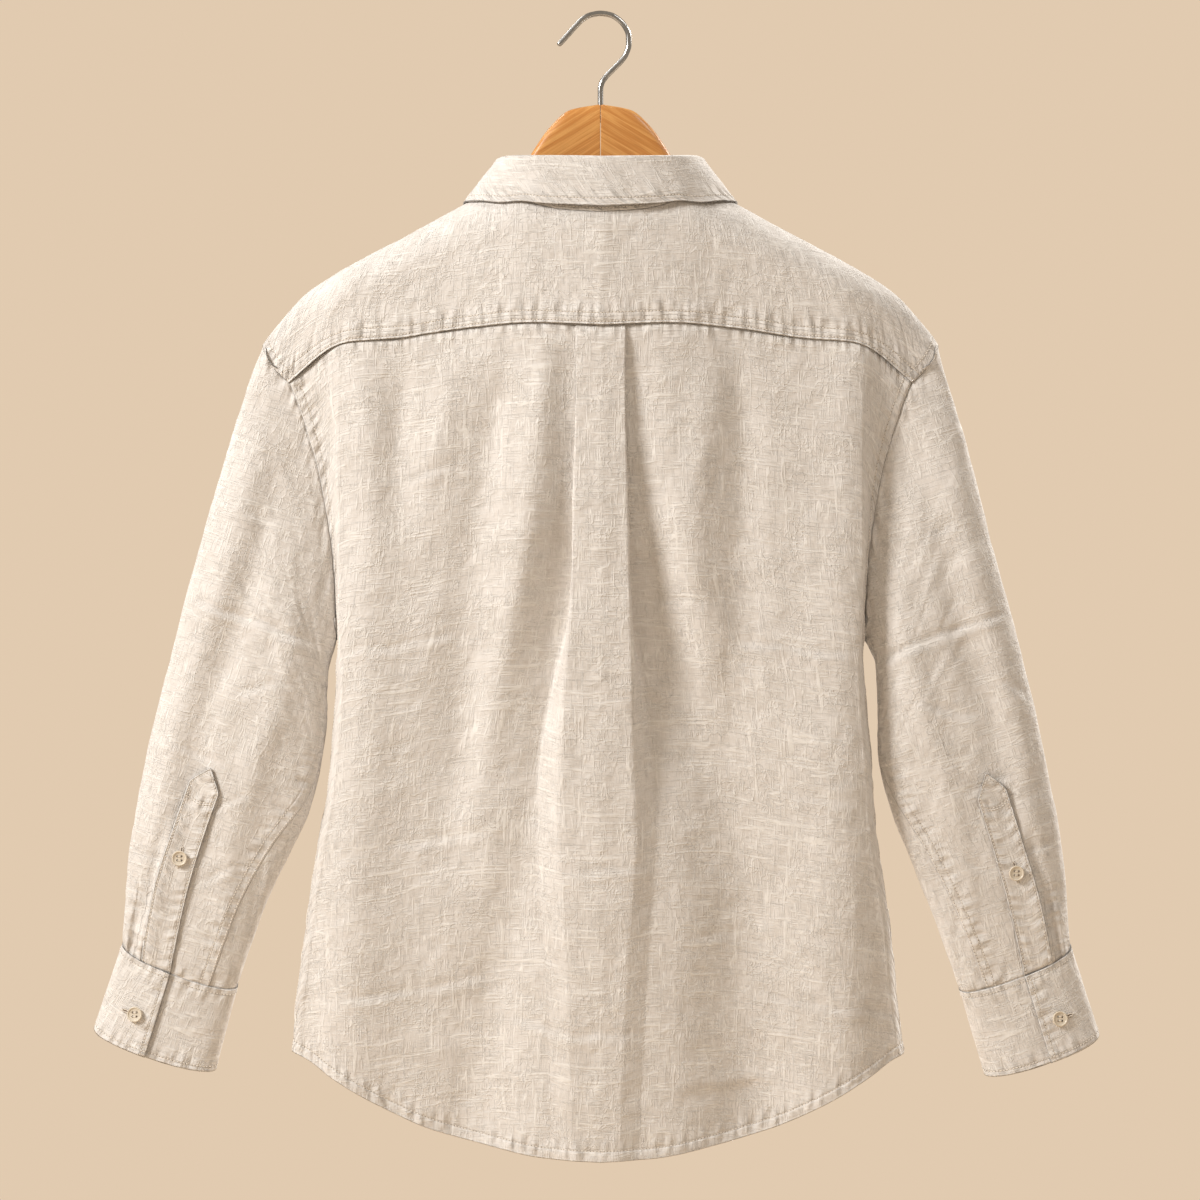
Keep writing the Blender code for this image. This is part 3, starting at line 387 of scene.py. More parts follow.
def panel_column(section, top, bottom, rows):
    z = top + (bottom - top) * rows
    x, y = section(z)
    return np.stack([x, y, z], -1)


def front_section(kind, share, hand, z):
    """One place across a front, from its lapped edge to its side."""
    fold = fold_line(z, hand)
    if kind == "lap":
        across = share + 0 * z
    else:
        across = FRONT_LAP + (fold - FRONT_LAP) * (share if kind == "main" else 1)
    x = hand * across
    layer = LAP_LAYER * hand * soft_step(60, 22, across)
    y = -depth_at(x, z, -1) - layer - relief(FRONT_FOLDS, x, z)
    if kind == "side":
        x, y_side = side_turn(z, hand, -1, share, -y)
        return x, -y_side
    return x, y


def front_top(x):
    """Top edge of a front: the neck seam, then the shoulder seam."""
    across = np.abs(x)
    places = np.linspace(NECK_CORNER, 1, 40)
    neck = over_ridge(through(NECK_LINE, places), through(NECK_LINE, places, 2))
    seam = over_ridge(through(FRONT_SEAM, places), through(FRONT_SEAM, places, 2))
    line = np.concatenate([neck[::-1], seam[1:]])
    gap = TIGHT_GAP * soft_step(60, 92, across)
    return np.interp(across, line[:, 0], line[:, 2]) - SEAM_GAP - gap


def front_hem(x):
    return back_hem(x) + FRONT_HEM_RISE * soft_step(230, 60, np.abs(x))


def neck_point(place):
    """Neck seam at a place from the centre back (0) round to the centre front (1) and past it."""
    share = np.abs(place)
    mirrored = np.where(share > 1, 2 - share, share)
    x = through(NECK_LINE, mirrored) * np.where(share > 1, -1, 1) * np.sign(place)
    return over_ridge(x, through(NECK_LINE, mirrored, 2))


def sleeve_point(hand, share, across, around):
    """Point of the hanging sleeve: across runs from its outer to its inner edge."""
    rows = SLEEVE_LEFT if hand > 0 else SLEEVE_RIGHT
    outer_x, outer_z, inner_x, inner_z, depth = (through(rows, share, c) for c in range(1, 6))
    x = hand * (outer_x + (inner_x - outer_x) * across)
    level = outer_z + (inner_z - outer_z) * across
    swell = np.sign(around) * np.abs(around) ** 0.72
    folds = relief(SLEEVE_FOLDS_LEFT if hand > 0 else SLEEVE_FOLDS_RIGHT, x, level)
    y = depth * swell + folds * np.abs(around) * np.sign(around)
    return np.stack([x, y, level - SLEEVE_DIP * swell * soft_step(0.6, 1, share)], -1)


def cuff_point(hand, down, place, layer):
    """Point of a cuff: place runs round it, from the outer edge over the back to the front."""
    top, bottom = CUFF_LEFT if hand > 0 else CUFF_RIGHT
    outer_x, outer_z, inner_x, inner_z = (a + (b - a) * down for a, b in zip(top, bottom))
    depth = CUFF_DEPTH[0] + (CUFF_DEPTH[1] - CUFF_DEPTH[0]) * down
    centre = (outer_x + inner_x) / 2
    half = (outer_x - inner_x) / 2 + layer
    swell = np.sign(np.sin(place)) * np.abs(np.sin(place)) ** 0.8
    x = centre + half * np.cos(place)
    level = (outer_z + inner_z) / 2 + (outer_z - inner_z) / 2 * np.cos(place)
    return np.stack([hand * x, (depth + layer) * swell, level - CUFF_DIP * swell], -1)


def cuff_places(count):
    """Places round a cuff from its hidden end, past the front, to its lapping end."""
    lap = math.acos(1 - 2 * CUFF_LAP_EDGE)
    hidden = math.acos(1 - 2 * CUFF_UNDERLAP)
    return np.linspace(hidden, lap + 2 * math.pi, count)


def cuff_layer(places):
    full = 2 * math.pi
    rise = soft_step(full - 0.9, full + cuff_places(2)[0] - 0.1, places)
    drop = soft_step(math.pi * 0.85, 0.95, places)
    return CUFF_LAYER * (rise - drop)


def clear_of_body(points, size):
    """Moves the collar's points out until they stand clear of yoke and fronts."""
    x, y, z = points.T
    side = np.where(size < 0.52, 1, -1)
    needed = np.where(side > 0, depth_at(x, z - LEAF_CLEAR, 1), depth_at(x, z - LEAF_CLEAR, -1))
    over_stand = LEAF_OVER_STAND * (side < 0) * soft_step(-222, -196, z)
    below = z - LEAF_CLEAR < through(RIDGE, np.abs(x))
    needed = np.where(below, needed + LEAF_CLEAR + over_stand, 0)
    return np.stack([x, side * np.maximum(side * y, needed), z], -1)


# Steps round the armhole, and how far one piece runs on under the next at a seam
ARMHOLE_STEPS = 48
YOKE_STEPS = 44
TUCK = 3
TUCK_SINK = 1.4

# Rows down each cloth: its length, the finely stepped stretches at its top and foot, the fine
# step and the coarse step
BACK_ROWS = (660, 10, 12, 0.9, 3.3)
YOKE_ROWS = (140, 3, 14, 0.6, 3.2)
FRONT_ROWS = (700, 4, 12, 0.9, 4.2)
SLEEVE_ROWS = (510, 6, 8, 0.9, 2.55)

# Short creases, each from one place to another: x, z, x, z, depth, half width
BACK_CREASES = (
    (-112, -516, -160, -522, -1.6, 2.4), (-155, -521, -206, -528, -1.5, 2.6),
    (213, -526, 160, -519, -1.2, 3), (165, -519, 118, -511, -1.4, 3),
    (161, -385, 126, -371, -1.1, 3), (174, -684, 90, -671, -1.2, 3.2),
    (34, -704, -41, -700, -1.2, 3.4), (210, -811, 150, -802, -1.7, 3),
    (152, -803, 92, -789, -1.6, 3.4), (-130, -802, -178, -815, -1.4, 3),
    (-172, -814, -238, -821, -1.3, 3.2), (75, -823, 20, -839, -1.4, 3.6),
    (24, -839, -34, -835, -1.3, 3.6), (-60, -880, -150, -872, 1.1, 5),
    (-40, -480, -90, -486, -0.8, 3),
    (190, -610, 150, -600, -0.9, 3), (-150, -640, -215, -652, -1.0, 3.4),
    (-70, -760, -120, -752, -0.9, 3),
)
FRONT_CREASES = (
    (40, -360, 110, -372, -1.1, 3), (-50, -420, -130, -408, -1.2, 3),
    (60, -560, 150, -575, -1.4, 3.2), (-90, -600, -190, -612, -1.4, 3),
    (30, -720, 120, -708, -1.1, 3.4), (-40, -780, -130, -792, -1.4, 3.4),
    (150, -800, 220, -812, -1.1, 3), (-160, -500, -205, -512, -1.1, 2.6),
    (160, -640, 210, -628, -1.0, 3),
)
SLEEVE_CREASES_LEFT = (
    (333, -483, 292, -496, -1.9, 3.4), (298, -494, 232, -520, -1.8, 4),
    (300, -560, 262, -548, -1.2, 3.4), (350, -600, 310, -618, -1.1, 3.4),
    (318, -655, 290, -640, -1.0, 3), (268, -420, 292, -410, -0.9, 3),
    (380, -690, 352, -700, -0.9, 3), (300, -700, 330, -716, -1.0, 3),
    (357, -664, 377, -752, -3, 5),
)
SLEEVE_CREASES_RIGHT = (
    (-231, -530, -290, -508, -1.8, 4), (-282, -510, -332, -493, -1.7, 3.2),
    (-262, -566, -312, -580, -1.2, 3.4), (-300, -640, -340, -626, -1.1, 3.2),
    (-290, -420, -262, -432, -0.9, 3), (-352, -560, -330, -548, -1.0, 3),
    (-345, -690, -372, -684, -0.9, 3), (-288, -690, -318, -706, -1.0, 3),
    (-352, -668, -371, -756, -2.6, 5),
)
# Pleats at the cuffs: top x, top z, foot x, foot z
CUFF_PLEATS_LEFT = ((379, -706, 390, -772), (364, -716, 378.5, -776))
CUFF_PLEATS_RIGHT = ((-369, -706, -382, -777), (-356, -716, -369, -780))

# Where the sleeve's felled seam shows on its back: share of the length, share across
SLEEVE_SEAM = ((0.5, 1), (0.6, 0.975), (0.68, 0.93), (0.85, 0.84), (1, 0.77))
SLEEVE_SEAM_WIDTH = 8

# How far in from an edge each row of stitches runs, and the folded hem's width
HEM_FOLD = 8.6
YOKE_STITCH = (2.6, 9.8)
ARMHOLE_STITCH = 8
SIDE_STITCH = 6
CUFF_STITCH = 4.5
BAND_STITCH = 4
STAND_STITCH = 3
LEAF_STITCH = 6.3
PLACKET_STITCH = 2.2
PLACKET_BAR = 29

# One stitch: length, distance to the next and radius, and the furrow that it pulls
STITCH = 2.6
STITCH_PITCH = 2.75
STITCH_RADIUS = 0.36
GROOVE_DEPTH = 0.4
GROOVE_HALF = 1.1

# A distance at which nothing is near
FAR = 500.0

SEED = 7
random = np.random.default_rng(SEED)
LATTICE = random.uniform(-1, 1, (256, 256))


def noise(x, y):
    """Smooth noise between -1 and 1, about one bump for each unit."""
    x, y = np.broadcast_arrays(np.asarray(x, float), np.asarray(y, float))
    left, low = np.floor(x).astype(int), np.floor(y).astype(int)
    fx, fy = x - left, y - low
    fx, fy = fx * fx * (3 - 2 * fx), fy * fy * (3 - 2 * fy)
    near = LATTICE[left % 256, low % 256] * (1 - fx) + LATTICE[(left + 1) % 256, low % 256] * fx
    far_row = (low + 1) % 256
    far = LATTICE[left % 256, far_row] * (1 - fx) + LATTICE[(left + 1) % 256, far_row] * fx
    return near * (1 - fy) + far * fy


def crumple(u, v, seed):
    """Unevenness of washed linen: broad swells, dents along both grains and small sharp ridges."""
    broad = noise(u / 46 + seed, v / 70 + seed * 3)
    middle = noise(u / 15 + seed * 5, v / 24 + seed) + noise(u / 28 + seed, v / 12 + seed * 7)
    bend_u = u + 7 * noise(u / 19 + seed, v / 19)
    bend_v = v + 7 * noise(u / 19, v / 19 + seed)
    sharp = 0.32 - np.abs(noise(bend_u / 12 + seed * 2, bend_v / 10 + seed))
    patch = soft_step(-0.25, 0.35, noise(u / 60 + seed * 9, v / 60))
    return 0.8 * broad + 0.34 * middle + 0.7 * sharp * patch


def creases(table, x, z):
    """Short soft troughs, each with a low ridge beside it."""
    total = np.zeros_like(x)
    for x0, z0, x1, z1, depth, half in table:
        length = math.hypot(x1 - x0, z1 - z0)
        along = ((x - x0) * (x1 - x0) + (z - z0) * (z1 - z0)) / length
        off = ((x - x0) * (z1 - z0) - (z - z0) * (x1 - x0)) / length
        off = off * np.sign(x1 - x0) + 1.6 * noise(along / 22 + x0, z0)
        fade = soft_step(-6, length * 0.25, along) * soft_step(length + 6, length * 0.75, along)
        ridge = np.exp(-((off - 1.7 * half) / (1.3 * half)) ** 2)
        total += depth * fade * (np.exp(-(off / half) ** 2) - 0.6 * ridge)
    return total


def puckers(away, along, reach, wave, height, seed, start=0):
    """Short wrinkles that run out of a seam, by distance from it and place along it."""
    fade = np.exp(-np.maximum(away - start, 0) / reach)
    along = along + 0.5 * wave * noise(along / (3.7 * wave) + seed, seed)
    ripple = noise(along / wave + seed * 11, away / (reach * 2.5) + seed)
    strength = 0.7 + 0.5 * noise(along / (6 * wave), seed * 5)
    return 1.35 * height * fade * ripple * strength


def groove(away, inset):
    """Furrow that a row of stitches pulls into the cloth."""
    return -GROOVE_DEPTH * np.exp(-((away - inset) / GROOVE_HALF) ** 2)


def spans(grid, axis):
    """Distance along the rows (axis 1) or down the columns (axis 0) of a grid."""
    step = np.linalg.norm(np.diff(grid, axis=axis), axis=-1)
    total = np.cumsum(step, axis=axis)
    return np.concatenate([np.zeros_like(np.take(total, [0], axis=axis)), total], axis=axis)


def sides_of(grid):
    """Distances from a grid's first and from its last column."""
    along = spans(grid, 1)
    return along, along[:, -1:] - along


def fine_ends(length, first, last, fine, coarse):
    """Shares from 0 to 1 of a length, with fine steps over its first and last millimetres."""
    middle = np.linspace(first, length - last, round((length - first - last) / coarse))
    tail = length - np.arange(0, last, fine)[::-1]
    return np.concatenate([np.arange(0, first, fine), middle, tail]) / length


def outward(grid, closed=False, tube=False):
    """A grid's normals, turned to point out of the shirt, or out of a tube round its middle."""
    normal = normals_of(grid, closed)
    out = grid - grid.mean(1, keepdims=True) if tube else grid * (0, 1, 0)
    return normal * np.sign((normal * out).sum())


def tucked(grid, lean, fields, ends):
    """Runs a grid on under its neighbours: at its first or last rows or columns."""
    for end in ends:
        sideways, last = end == "right", end in ("foot", "right")
        items = [grid, lean, fields]
        if sideways:
            items = [np.swapaxes(item, 0, 1) for item in items]
        if last:
            items = [item[::-1] for item in items]
        points, leans, values = items
        out = points[0] - points[1]
        size = np.maximum(np.linalg.norm(out, axis=-1, keepdims=True), 1e-6)
        under = [points[0] + out / size * TUCK * share - leans[0] * TUCK_SINK * share ** 0.5
                 for share in (1, 0.4)]
        further = [values[0] + (values[0] - values[1]) / size * TUCK * share for share in (1, 0.4)]
        items = [np.concatenate([np.stack(under), points]),
                 np.concatenate([leans[:1], leans[:1], leans]),
                 np.concatenate([np.stack(further), values])]
        if last:
            items = [item[::-1] for item in items]
        if sideways:
            items = [np.swapaxes(item, 0, 1) for item in items]
        grid, lean, fields = items
    return grid, lean, fields


def fields_of(u, v, level=FAR, upright=FAR, edge=FAR, third=0.0):
    """What the material reads: places in the cut, and distances from stitches and from edges."""
    return np.stack(np.broadcast_arrays(u, v, third, level, upright, edge), -1)


def nearest_of(*distances):
    """The signed distance with the smallest size at each place."""
    stacked = np.stack(np.broadcast_arrays(*distances))
    return np.take_along_axis(stacked, np.abs(stacked).argmin(0)[None], 0)[0]


def add_object(name, data):
    piece = bpy.data.objects.new(name, data)
    bpy.context.collection.objects.link(piece)
    return piece


def make_mesh(name, points, faces, material, replaced=(), places=None, seams=None):
    """Adds a smooth mesh that rides the shirt's body, with what its material reads."""
    mesh = bpy.data.meshes.new(name)
    mesh.from_pydata((np.asarray(points) * MM).tolist(), [], faces)
    mesh.materials.append(material)
    for key, values in (("cut", places), ("seam", seams)):
        if values is not None:
            layer = mesh.attributes.new(key, "FLOAT_VECTOR", "POINT")
            layer.data.foreach_set("vector", np.asarray(values, np.float32).ravel())
    mesh.shade_smooth()
    piece = add_object(name, mesh)
    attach(piece, "root")
    if replaced:
        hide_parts(*replaced)
    return piece


def cloth(name, node, grid, lean, fields, thickness, material, closed=False, ends=()):
    """Thin closed cloth round a fine grid of points, run on under its neighbours at some ends."""
    grid, lean, fields = tucked(grid, lean, fields, ends)
    if (normals_of(grid, closed) * lean).sum() < 0:
        grid, lean, fields = grid[:, ::-1], lean[:, ::-1], fields[:, ::-1]
    offset = normals_of(grid, closed) * thickness / 2
    rows, columns = grid.shape[:2]
    under = rows * columns
    points = np.concatenate([(grid + offset).reshape(-1, 3), (grid - offset).reshape(-1, 3)])
    ids = np.arange(under).reshape(rows, columns)
    first = ids if closed else ids[:, :-1]
    following = np.roll(ids, -1, 1) if closed else ids[:, 1:]
    a, b, c, d = (side.ravel() for side in (first[:-1], following[:-1], following[1:], first[1:]))
    faces = [np.stack([a, b, c, d], 1), np.stack([a, d, c, b], 1) + under]
    faces.append(np.stack([first[0], first[0] + under, following[0] + under, following[0]], 1))
    faces.append(np.stack([first[-1], following[-1], following[-1] + under, first[-1] + under], 1))
    if not closed:
        left, right = ids[:, 0], ids[:, -1]
        faces.append(np.stack([left[:-1], left[1:], left[1:] + under, left[:-1] + under], 1))
        faces.append(np.stack([right[:-1], right[:-1] + under, right[1:] + under, right[1:]], 1))
    values = fields.reshape(-1, 6)
    places = np.concatenate([values[:, :3], values[:, :3] + (0, 0, 150)])
    seams = np.concatenate([values[:, 3:], values[:, 3:]])
    faces = np.concatenate(faces).tolist()
    piece = make_mesh(name, points, faces, material, [node], places=places, seams=seams)
    return piece


def line_at(grid, lean, measure, value, down=True):
    """Points and normals where a measured distance has a value, one for each column or row."""
    if not down:
        grid, lean, measure = (np.swapaxes(item, 0, 1) for item in (grid, lean, measure))
    value = np.broadcast_to(value, grid.shape[1])
    both = np.concatenate([grid, lean], -1)
    found = []
    for column in range(grid.shape[1]):
        order = 1 if measure[-1, column] > measure[0, column] else -1
        ruler = measure[::order, column]
        found.append([np.interp(value[column], ruler, both[::order, column, axis])
                      for axis in range(6)])
    found = np.array(found)
    return found[:, :3], found[:, 3:]


stitch_rows = []


def stitch_line(points, leans, thickness, pitch=STITCH_PITCH, length=STITCH, radius=STITCH_RADIUS,
                dark=0.0):
    """Notes a row of stitches on a cloth's outer face; they are made in one mesh at the end."""
    # dark of 1 paints the whole stitch in painted shade; every stitch's ends get painted shade from the
    # thread material
    points = points + leans * (thickness / 2 + 0.05)
    stitch_rows.append((points, leans, pitch, length, radius, dark))


def stitch_beside(grid, lean, distances, inset, thickness, down=False):
    """A row of stitches at an inset from each of some edges."""
    for away in distances:
        stitch_line(*line_at(grid, lean, away, inset, down), thickness)


# Rings of one stitch: place along it as a share of its length, and share of its radius
STITCH_RINGS = ((-0.5, 0.6), (-0.34, 1), (0.34, 1), (0.5, 0.6))
STITCH_SIDES = 6


def skin(rings, sides):
    """Faces round a stack of rings, and the two caps that close it."""
    faces = []
    for ring in range(rings - 1):
        for side in range(sides):
            a, b = ring * sides + side, ring * sides + (side + 1) % sides
            faces.append((a, b, b + sides, a + sides))
    caps = [tuple(range(sides - 1, -1, -1)), tuple(range((rings - 1) * sides, rings * sides))]
    return faces, caps


def threads(centres, along, up, lengths, radius, dark):
    """Points, places and faces of many short rounded threads."""
    side = unit(np.cross(along, up))
    up = np.cross(side, along)
    count, rings = len(centres), len(STITCH_RINGS)
    points = np.zeros((count, rings, STITCH_SIDES, 3))
    places = np.zeros((count, rings, STITCH_SIDES, 3))
    for ring, (place, size) in enumerate(STITCH_RINGS):
        sink = up * radius * (0.7 if size < 1 else 0)
        middle = centres + along * (lengths * place)[:, None] - sink
        # Place along the stitch, raised by its dark flag: the thread material paints shade at the ends,
        # or over all of a flagged stitch
        places[:, ring, :, 0] = abs(place) + dark[:, None]
        for corner, angle in enumerate(circle(STITCH_SIDES)):
            around = side * math.cos(angle) + up * math.sin(angle)
            points[:, ring, corner] = middle + around * size * radius
    starts = np.arange(count)[:, None, None] * rings * STITCH_SIDES
    faces, caps = skin(rings, STITCH_SIDES)
    total = (np.array(faces)[None] + starts).reshape(-1, 4).tolist()
    total += (np.array(caps)[None] + starts).reshape(-1, STITCH_SIDES).tolist()
    return points.reshape(-1, 3), places.reshape(-1, 3), total


def sew(name, rows, material):
    """All rows of stitches as one mesh."""
    centres, alongs, ups, lengths, radii, painted_shades = [], [], [], [], [], []
    for path, leans, pitch, length, radius, dark in rows:
        run = np.concatenate([[0], np.cumsum(np.linalg.norm(np.diff(path, axis=0), axis=1))])
        at = np.arange(pitch / 2, run[-1], pitch)
        at = at + random.uniform(-0.08, 0.08, len(at)) * pitch
        both = np.concatenate([path, leans], 1)
        here, ahead, behind = (np.stack([np.interp(place, run, both[:, axis]) for axis in range(6)], -1)
                               for place in (at, at + 0.6, at - 0.6))
        centres.append(here[:, :3])
        alongs.append(unit(ahead[:, :3] - behind[:, :3]))
        ups.append(here[:, 3:])
        lengths.append(length * random.uniform(0.92, 1.05, len(at)))
        radii.append(np.full((len(at), 1), radius))
        # Flags for stitches painted wholly in shade
        painted_shades.append(np.full(len(at), dark))
    items = [np.concatenate(part) for part in (centres, alongs, ups, lengths, radii, painted_shades)]
    points, places, faces = threads(*items)
    return make_mesh(name, points, faces, material, places=places)


def fine_sides(hand):
    """Columns of the back from its middle to one side, closer together at folds and seams."""
    counts = (("band", 10), ("edge", 7), ("under", 7), ("main", 60), ("side", 18))
    columns = []
    for kind, count in counts:
        shares = np.linspace(0, 1, count)
        columns += [(hand, kind, share) for share in (shares if kind == "under" else shares[1:])]
    return columns


def panel_lines(columns, section_of, top_line, hem_line, edge_top, rows):
    """Points of a body panel, a column for each place across."""
    lines = []
    for hand, kind, share in columns:
        section = lambda z: section_of(kind, share, hand, np.asarray(z, float))
        top, bottom = column_ends(section, top_line, hem_line)
        if (kind, share) == ("side", 1):
            top, bottom = edge_top, SIDE_HEM
        lines.append(panel_column(section, top, bottom, rows))
    return np.stack(lines, 1)


def cut_places(grid, middle):
    """Places in the cut: across from its middle column, and down from its top."""
    across = spans(grid, 1)
    return across - across[:, middle:middle + 1], spans(grid, 0)


def hem_relief(away, along, seed):
    """Folded hem with its stitched furrow and slanting puckers."""
    raised = 0.5 * soft_step(HEM_FOLD + 0.5, HEM_FOLD - 1.1, away)
    slant = puckers(np.abs(away - 4), along + 0.8 * away, 4, 8, 0.4, seed)
    above = puckers(away, along, 9, 11, 0.4, seed + 3, HEM_FOLD)
    return raised + groove(away, HEM_FOLD) + slant + above


def calmed(edge):
    """Share of the relief that is left beside an edge."""
    return 0.45 + 0.55 * soft_step(0, 3, edge)


def side_inset(z):
    """How far in the stitches beside the armhole and the side seam run."""
    return SIDE_STITCH + (ARMHOLE_STITCH - SIDE_STITCH) * soft_step(UNDERARM - 10, UNDERARM + 10, z)


def side_relief(away, v, seed):
    """Puckers, furrow and raised edge beside an armhole or a side seam."""
    gather = puckers(away, v, 8, 7, 0.75, seed) + puckers(away, v, 18, 15, 0.6, seed + 4, 6)
    return gather + 0.3 * soft_step(8, 5, away)


def make_back(material):
    columns = fine_sides(1)[::-1] + [(1, "band", 0.0)] + fine_sides(-1)
    rows = fine_ends(*BACK_ROWS)
    grid = panel_lines(columns, back_section, seam_below_yoke, back_hem, BACK_ARMHOLE_TOP, rows)
    u, v = cut_places(grid, len(columns) // 2)
    x, y, z = np.moveaxis(grid, -1, 0)
    proud = np.maximum(y - depth_at(x, z, 1), 0) * soft_step(12, 0, v)
    grid = grid - proud[..., None] * (0, 1, 0)
    to_hem = v[-1] - v
    to_left, to_right = sides_of(grid)
    rise = crumple(u, v, 1.0) + creases(BACK_CREASES, x, z)
    rise += puckers(v, u, 10, 9, 0.6, 2) + puckers(v, u, 34, 17, 1.1, 5)
    sink = 0.9 + 0.5 * soft_step(24, 20, np.abs(x)) - 0.6 * soft_step(165, 205, np.abs(x))
    sink = sink * soft_step(5, 0, v)
    rise = rise * (0.15 + 0.85 * soft_step(0, 12, v))
    rise += hem_relief(to_hem, u, 4)
    rise += side_relief(to_left, v, 6) + side_relief(to_right, v, 7)
    edge = np.minimum(np.minimum(to_hem, to_left), to_right)
    grid = grid + outward(grid) * (rise * calmed(edge))[..., None]
    grid = grid - sink[..., None] * (0, 1, 0)
    lean = outward(grid)
    lean = np.where(lean[..., 1:2] < 0, -lean, lean)
    inset = side_inset(z)
    fields = fields_of(u, v, nearest_of(v, to_hem - HEM_FOLD),
                       nearest_of(to_left - inset, to_right - inset), edge)
    cloth("cloth_back", "back_panel", grid, lean, fields, WALL, material, ends=("top",))
    stitch_beside(grid, lean, [to_hem], HEM_FOLD, WALL, True)
    stitch_beside(grid, lean, (to_left, to_right), side_inset(z[:, 0]), WALL)


def yoke_lines(shares, steps):
    """Points of the yoke, a column for each share of its width."""
    lines = []
    for share in shares:
        size = abs(share)
        if size <= YOKE_NECK:
            place = NECK_CORNER * size / YOKE_NECK
            x0, a0 = through(NECK_LINE, place), through(NECK_LINE, place, 2)
        else:
            place = NECK_CORNER + (1 - NECK_CORNER) * (size - YOKE_NECK) / (1 - YOKE_NECK)
            x0, a0 = through(FRONT_SEAM, place), through(FRONT_SEAM, place, 2)
        x1 = YOKE_END * size
        a1 = around_at(x1, through(YOKE_SEAM, x1))
        ridge = max(-a0 / (a1 - a0), 0.1)
        t = np.interp(steps, (0, 0.25), (0, ridge))
        past = np.maximum(steps - 0.25, 0) / 0.75
        t = np.where(past > 0, ridge + (1 - ridge) * past ** 1.3, t)
        bow = SHOULDER_BOW * soft_step(0.8, 1, size) * np.sin(math.pi * t)
        x = (x0 + (x1 - x0) * t + bow) * np.sign(share)
        lines.append(over_ridge(x, a0 + (a1 - a0) * t))
    return np.stack(lines, 1)


def make_yoke(material):
    shares = np.concatenate([np.linspace(0, YOKE_NECK, 50), np.linspace(YOKE_NECK, 1, 82)[1:]])
    shares = np.concatenate([-shares[:0:-1], shares])
    grid = yoke_lines(shares, fine_ends(*YOKE_ROWS))
    u, v = cut_places(grid, len(shares) // 2)
    to_seam = v[-1] - v
    to_left, to_right = sides_of(grid)
    ends = np.minimum(to_left, to_right)
    rise = 0.7 * crumple(u, v, 9.0) + puckers(np.abs(to_seam - 6), u, 6, 8, 0.5, 3)
    rise += puckers(to_seam, u, 22, 15, 0.5, 13) + puckers(ends, v, 8, 10, 0.5, 8)
    rise = rise * soft_step(0, 3, np.minimum(v, ends)) * (0.3 + 0.7 * soft_step(0, 4, to_seam))
    rise += 0.45 * soft_step(2.2, 0.6, to_seam)
    grid = grid + outward(grid) * rise[..., None]
    lean = outward(grid)
    rows = nearest_of(to_seam - YOKE_STITCH[0], to_seam - YOKE_STITCH[1])
    fields = fields_of(u, -to_seam, rows, ends - ARMHOLE_STITCH, np.minimum(to_seam, ends))
    cloth("cloth_yoke", "yoke", grid, lean, fields, YOKE_WALL, material)
    for inset in YOKE_STITCH:
        stitch_beside(grid, lean, [to_seam], inset, YOKE_WALL, True)
    stitch_beside(grid, lean, (to_left, to_right), ARMHOLE_STITCH, YOKE_WALL)
    return yoke_lines(shares[[0, 1, -2, -1]], np.linspace(0, 1, YOKE_STEPS + 1))


def make_front(hand, material):
    name = HANDS[hand]
    laps = [(hand, "lap", across) for across in np.linspace(-FRONT_LAP, FRONT_LAP, 13)]
    main = [(hand, "main", share) for share in np.linspace(0, 1, 60)[1:]]
    side = [(hand, "side", share) for share in np.linspace(0, 1, 13)[1:]]
    top = FRONT_ARMHOLE_TOP - 1.5 * TIGHT_GAP
    rows = fine_ends(*FRONT_ROWS)
    grid = panel_lines(laps + main + side, front_section, front_top, front_hem, top, rows)
    u, v = cut_places(grid, 0)
    x, z = grid[..., 0], grid[..., 2]
    to_side, to_hem = u[:, -1:] - u, v[-1] - v
    rise = crumple(u, v, 20.0 + hand) + creases(FRONT_CREASES, x, z)
    rise += hem_relief(to_hem, u, 14 + hand)
    rise += puckers(v, u, 9, 7, 0.5, 12 + hand) - 0.4 * soft_step(3, 0, v)
    rise += side_relief(to_side, v, 16 + hand)
    edge = np.minimum(to_hem, to_side)
    rise = rise * calmed(edge) * soft_step(30, 48, u)
    grid = grid + outward(grid) * rise[..., None]
    lean = outward(grid)
    across = spans(grid * (1, 1, 0), 1)
    fields = fields_of(across, -z, nearest_of(v, to_hem - HEM_FOLD), to_side - side_inset(z), edge)
    cloth(f"cloth_front_{name}", f"front_{name}", grid, lean, fields, WALL, material,
          ends=("top", "right"))
    stitch_beside(grid, lean, [to_hem], HEM_FOLD, WALL, True)
    stitch_beside(grid, lean, [to_side], side_inset(z[:, -1]), WALL)
    if hand > 0:
        make_band(grid[:, :13], lean[:, :13], u[:, :13], v[:, :13], material)


def make_band(front, lean, u, v, material):
    """Front band on the left front, with rows of stitches near both edges."""
    edge = np.minimum(u, 2 * FRONT_LAP - u)
    rise = LAID_ON + puckers(edge, v, 3, 8, 0.12, 21, 2)
    grid = front + lean * rise[..., None]
    grid[0, :, 2] -= 0.3
    rows = nearest_of(u - BAND_STITCH, 2 * FRONT_LAP - BAND_STITCH - u)
    fields = fields_of(u, v, FAR, rows, edge)
    cloth("cloth_front_band", "front_band", grid, lean, fields, WALL, material)
    across = spans(grid, 1)
    for inset in (BAND_STITCH, 2 * FRONT_LAP - BAND_STITCH):
        stitch_beside(grid, lean, [across], inset, WALL)


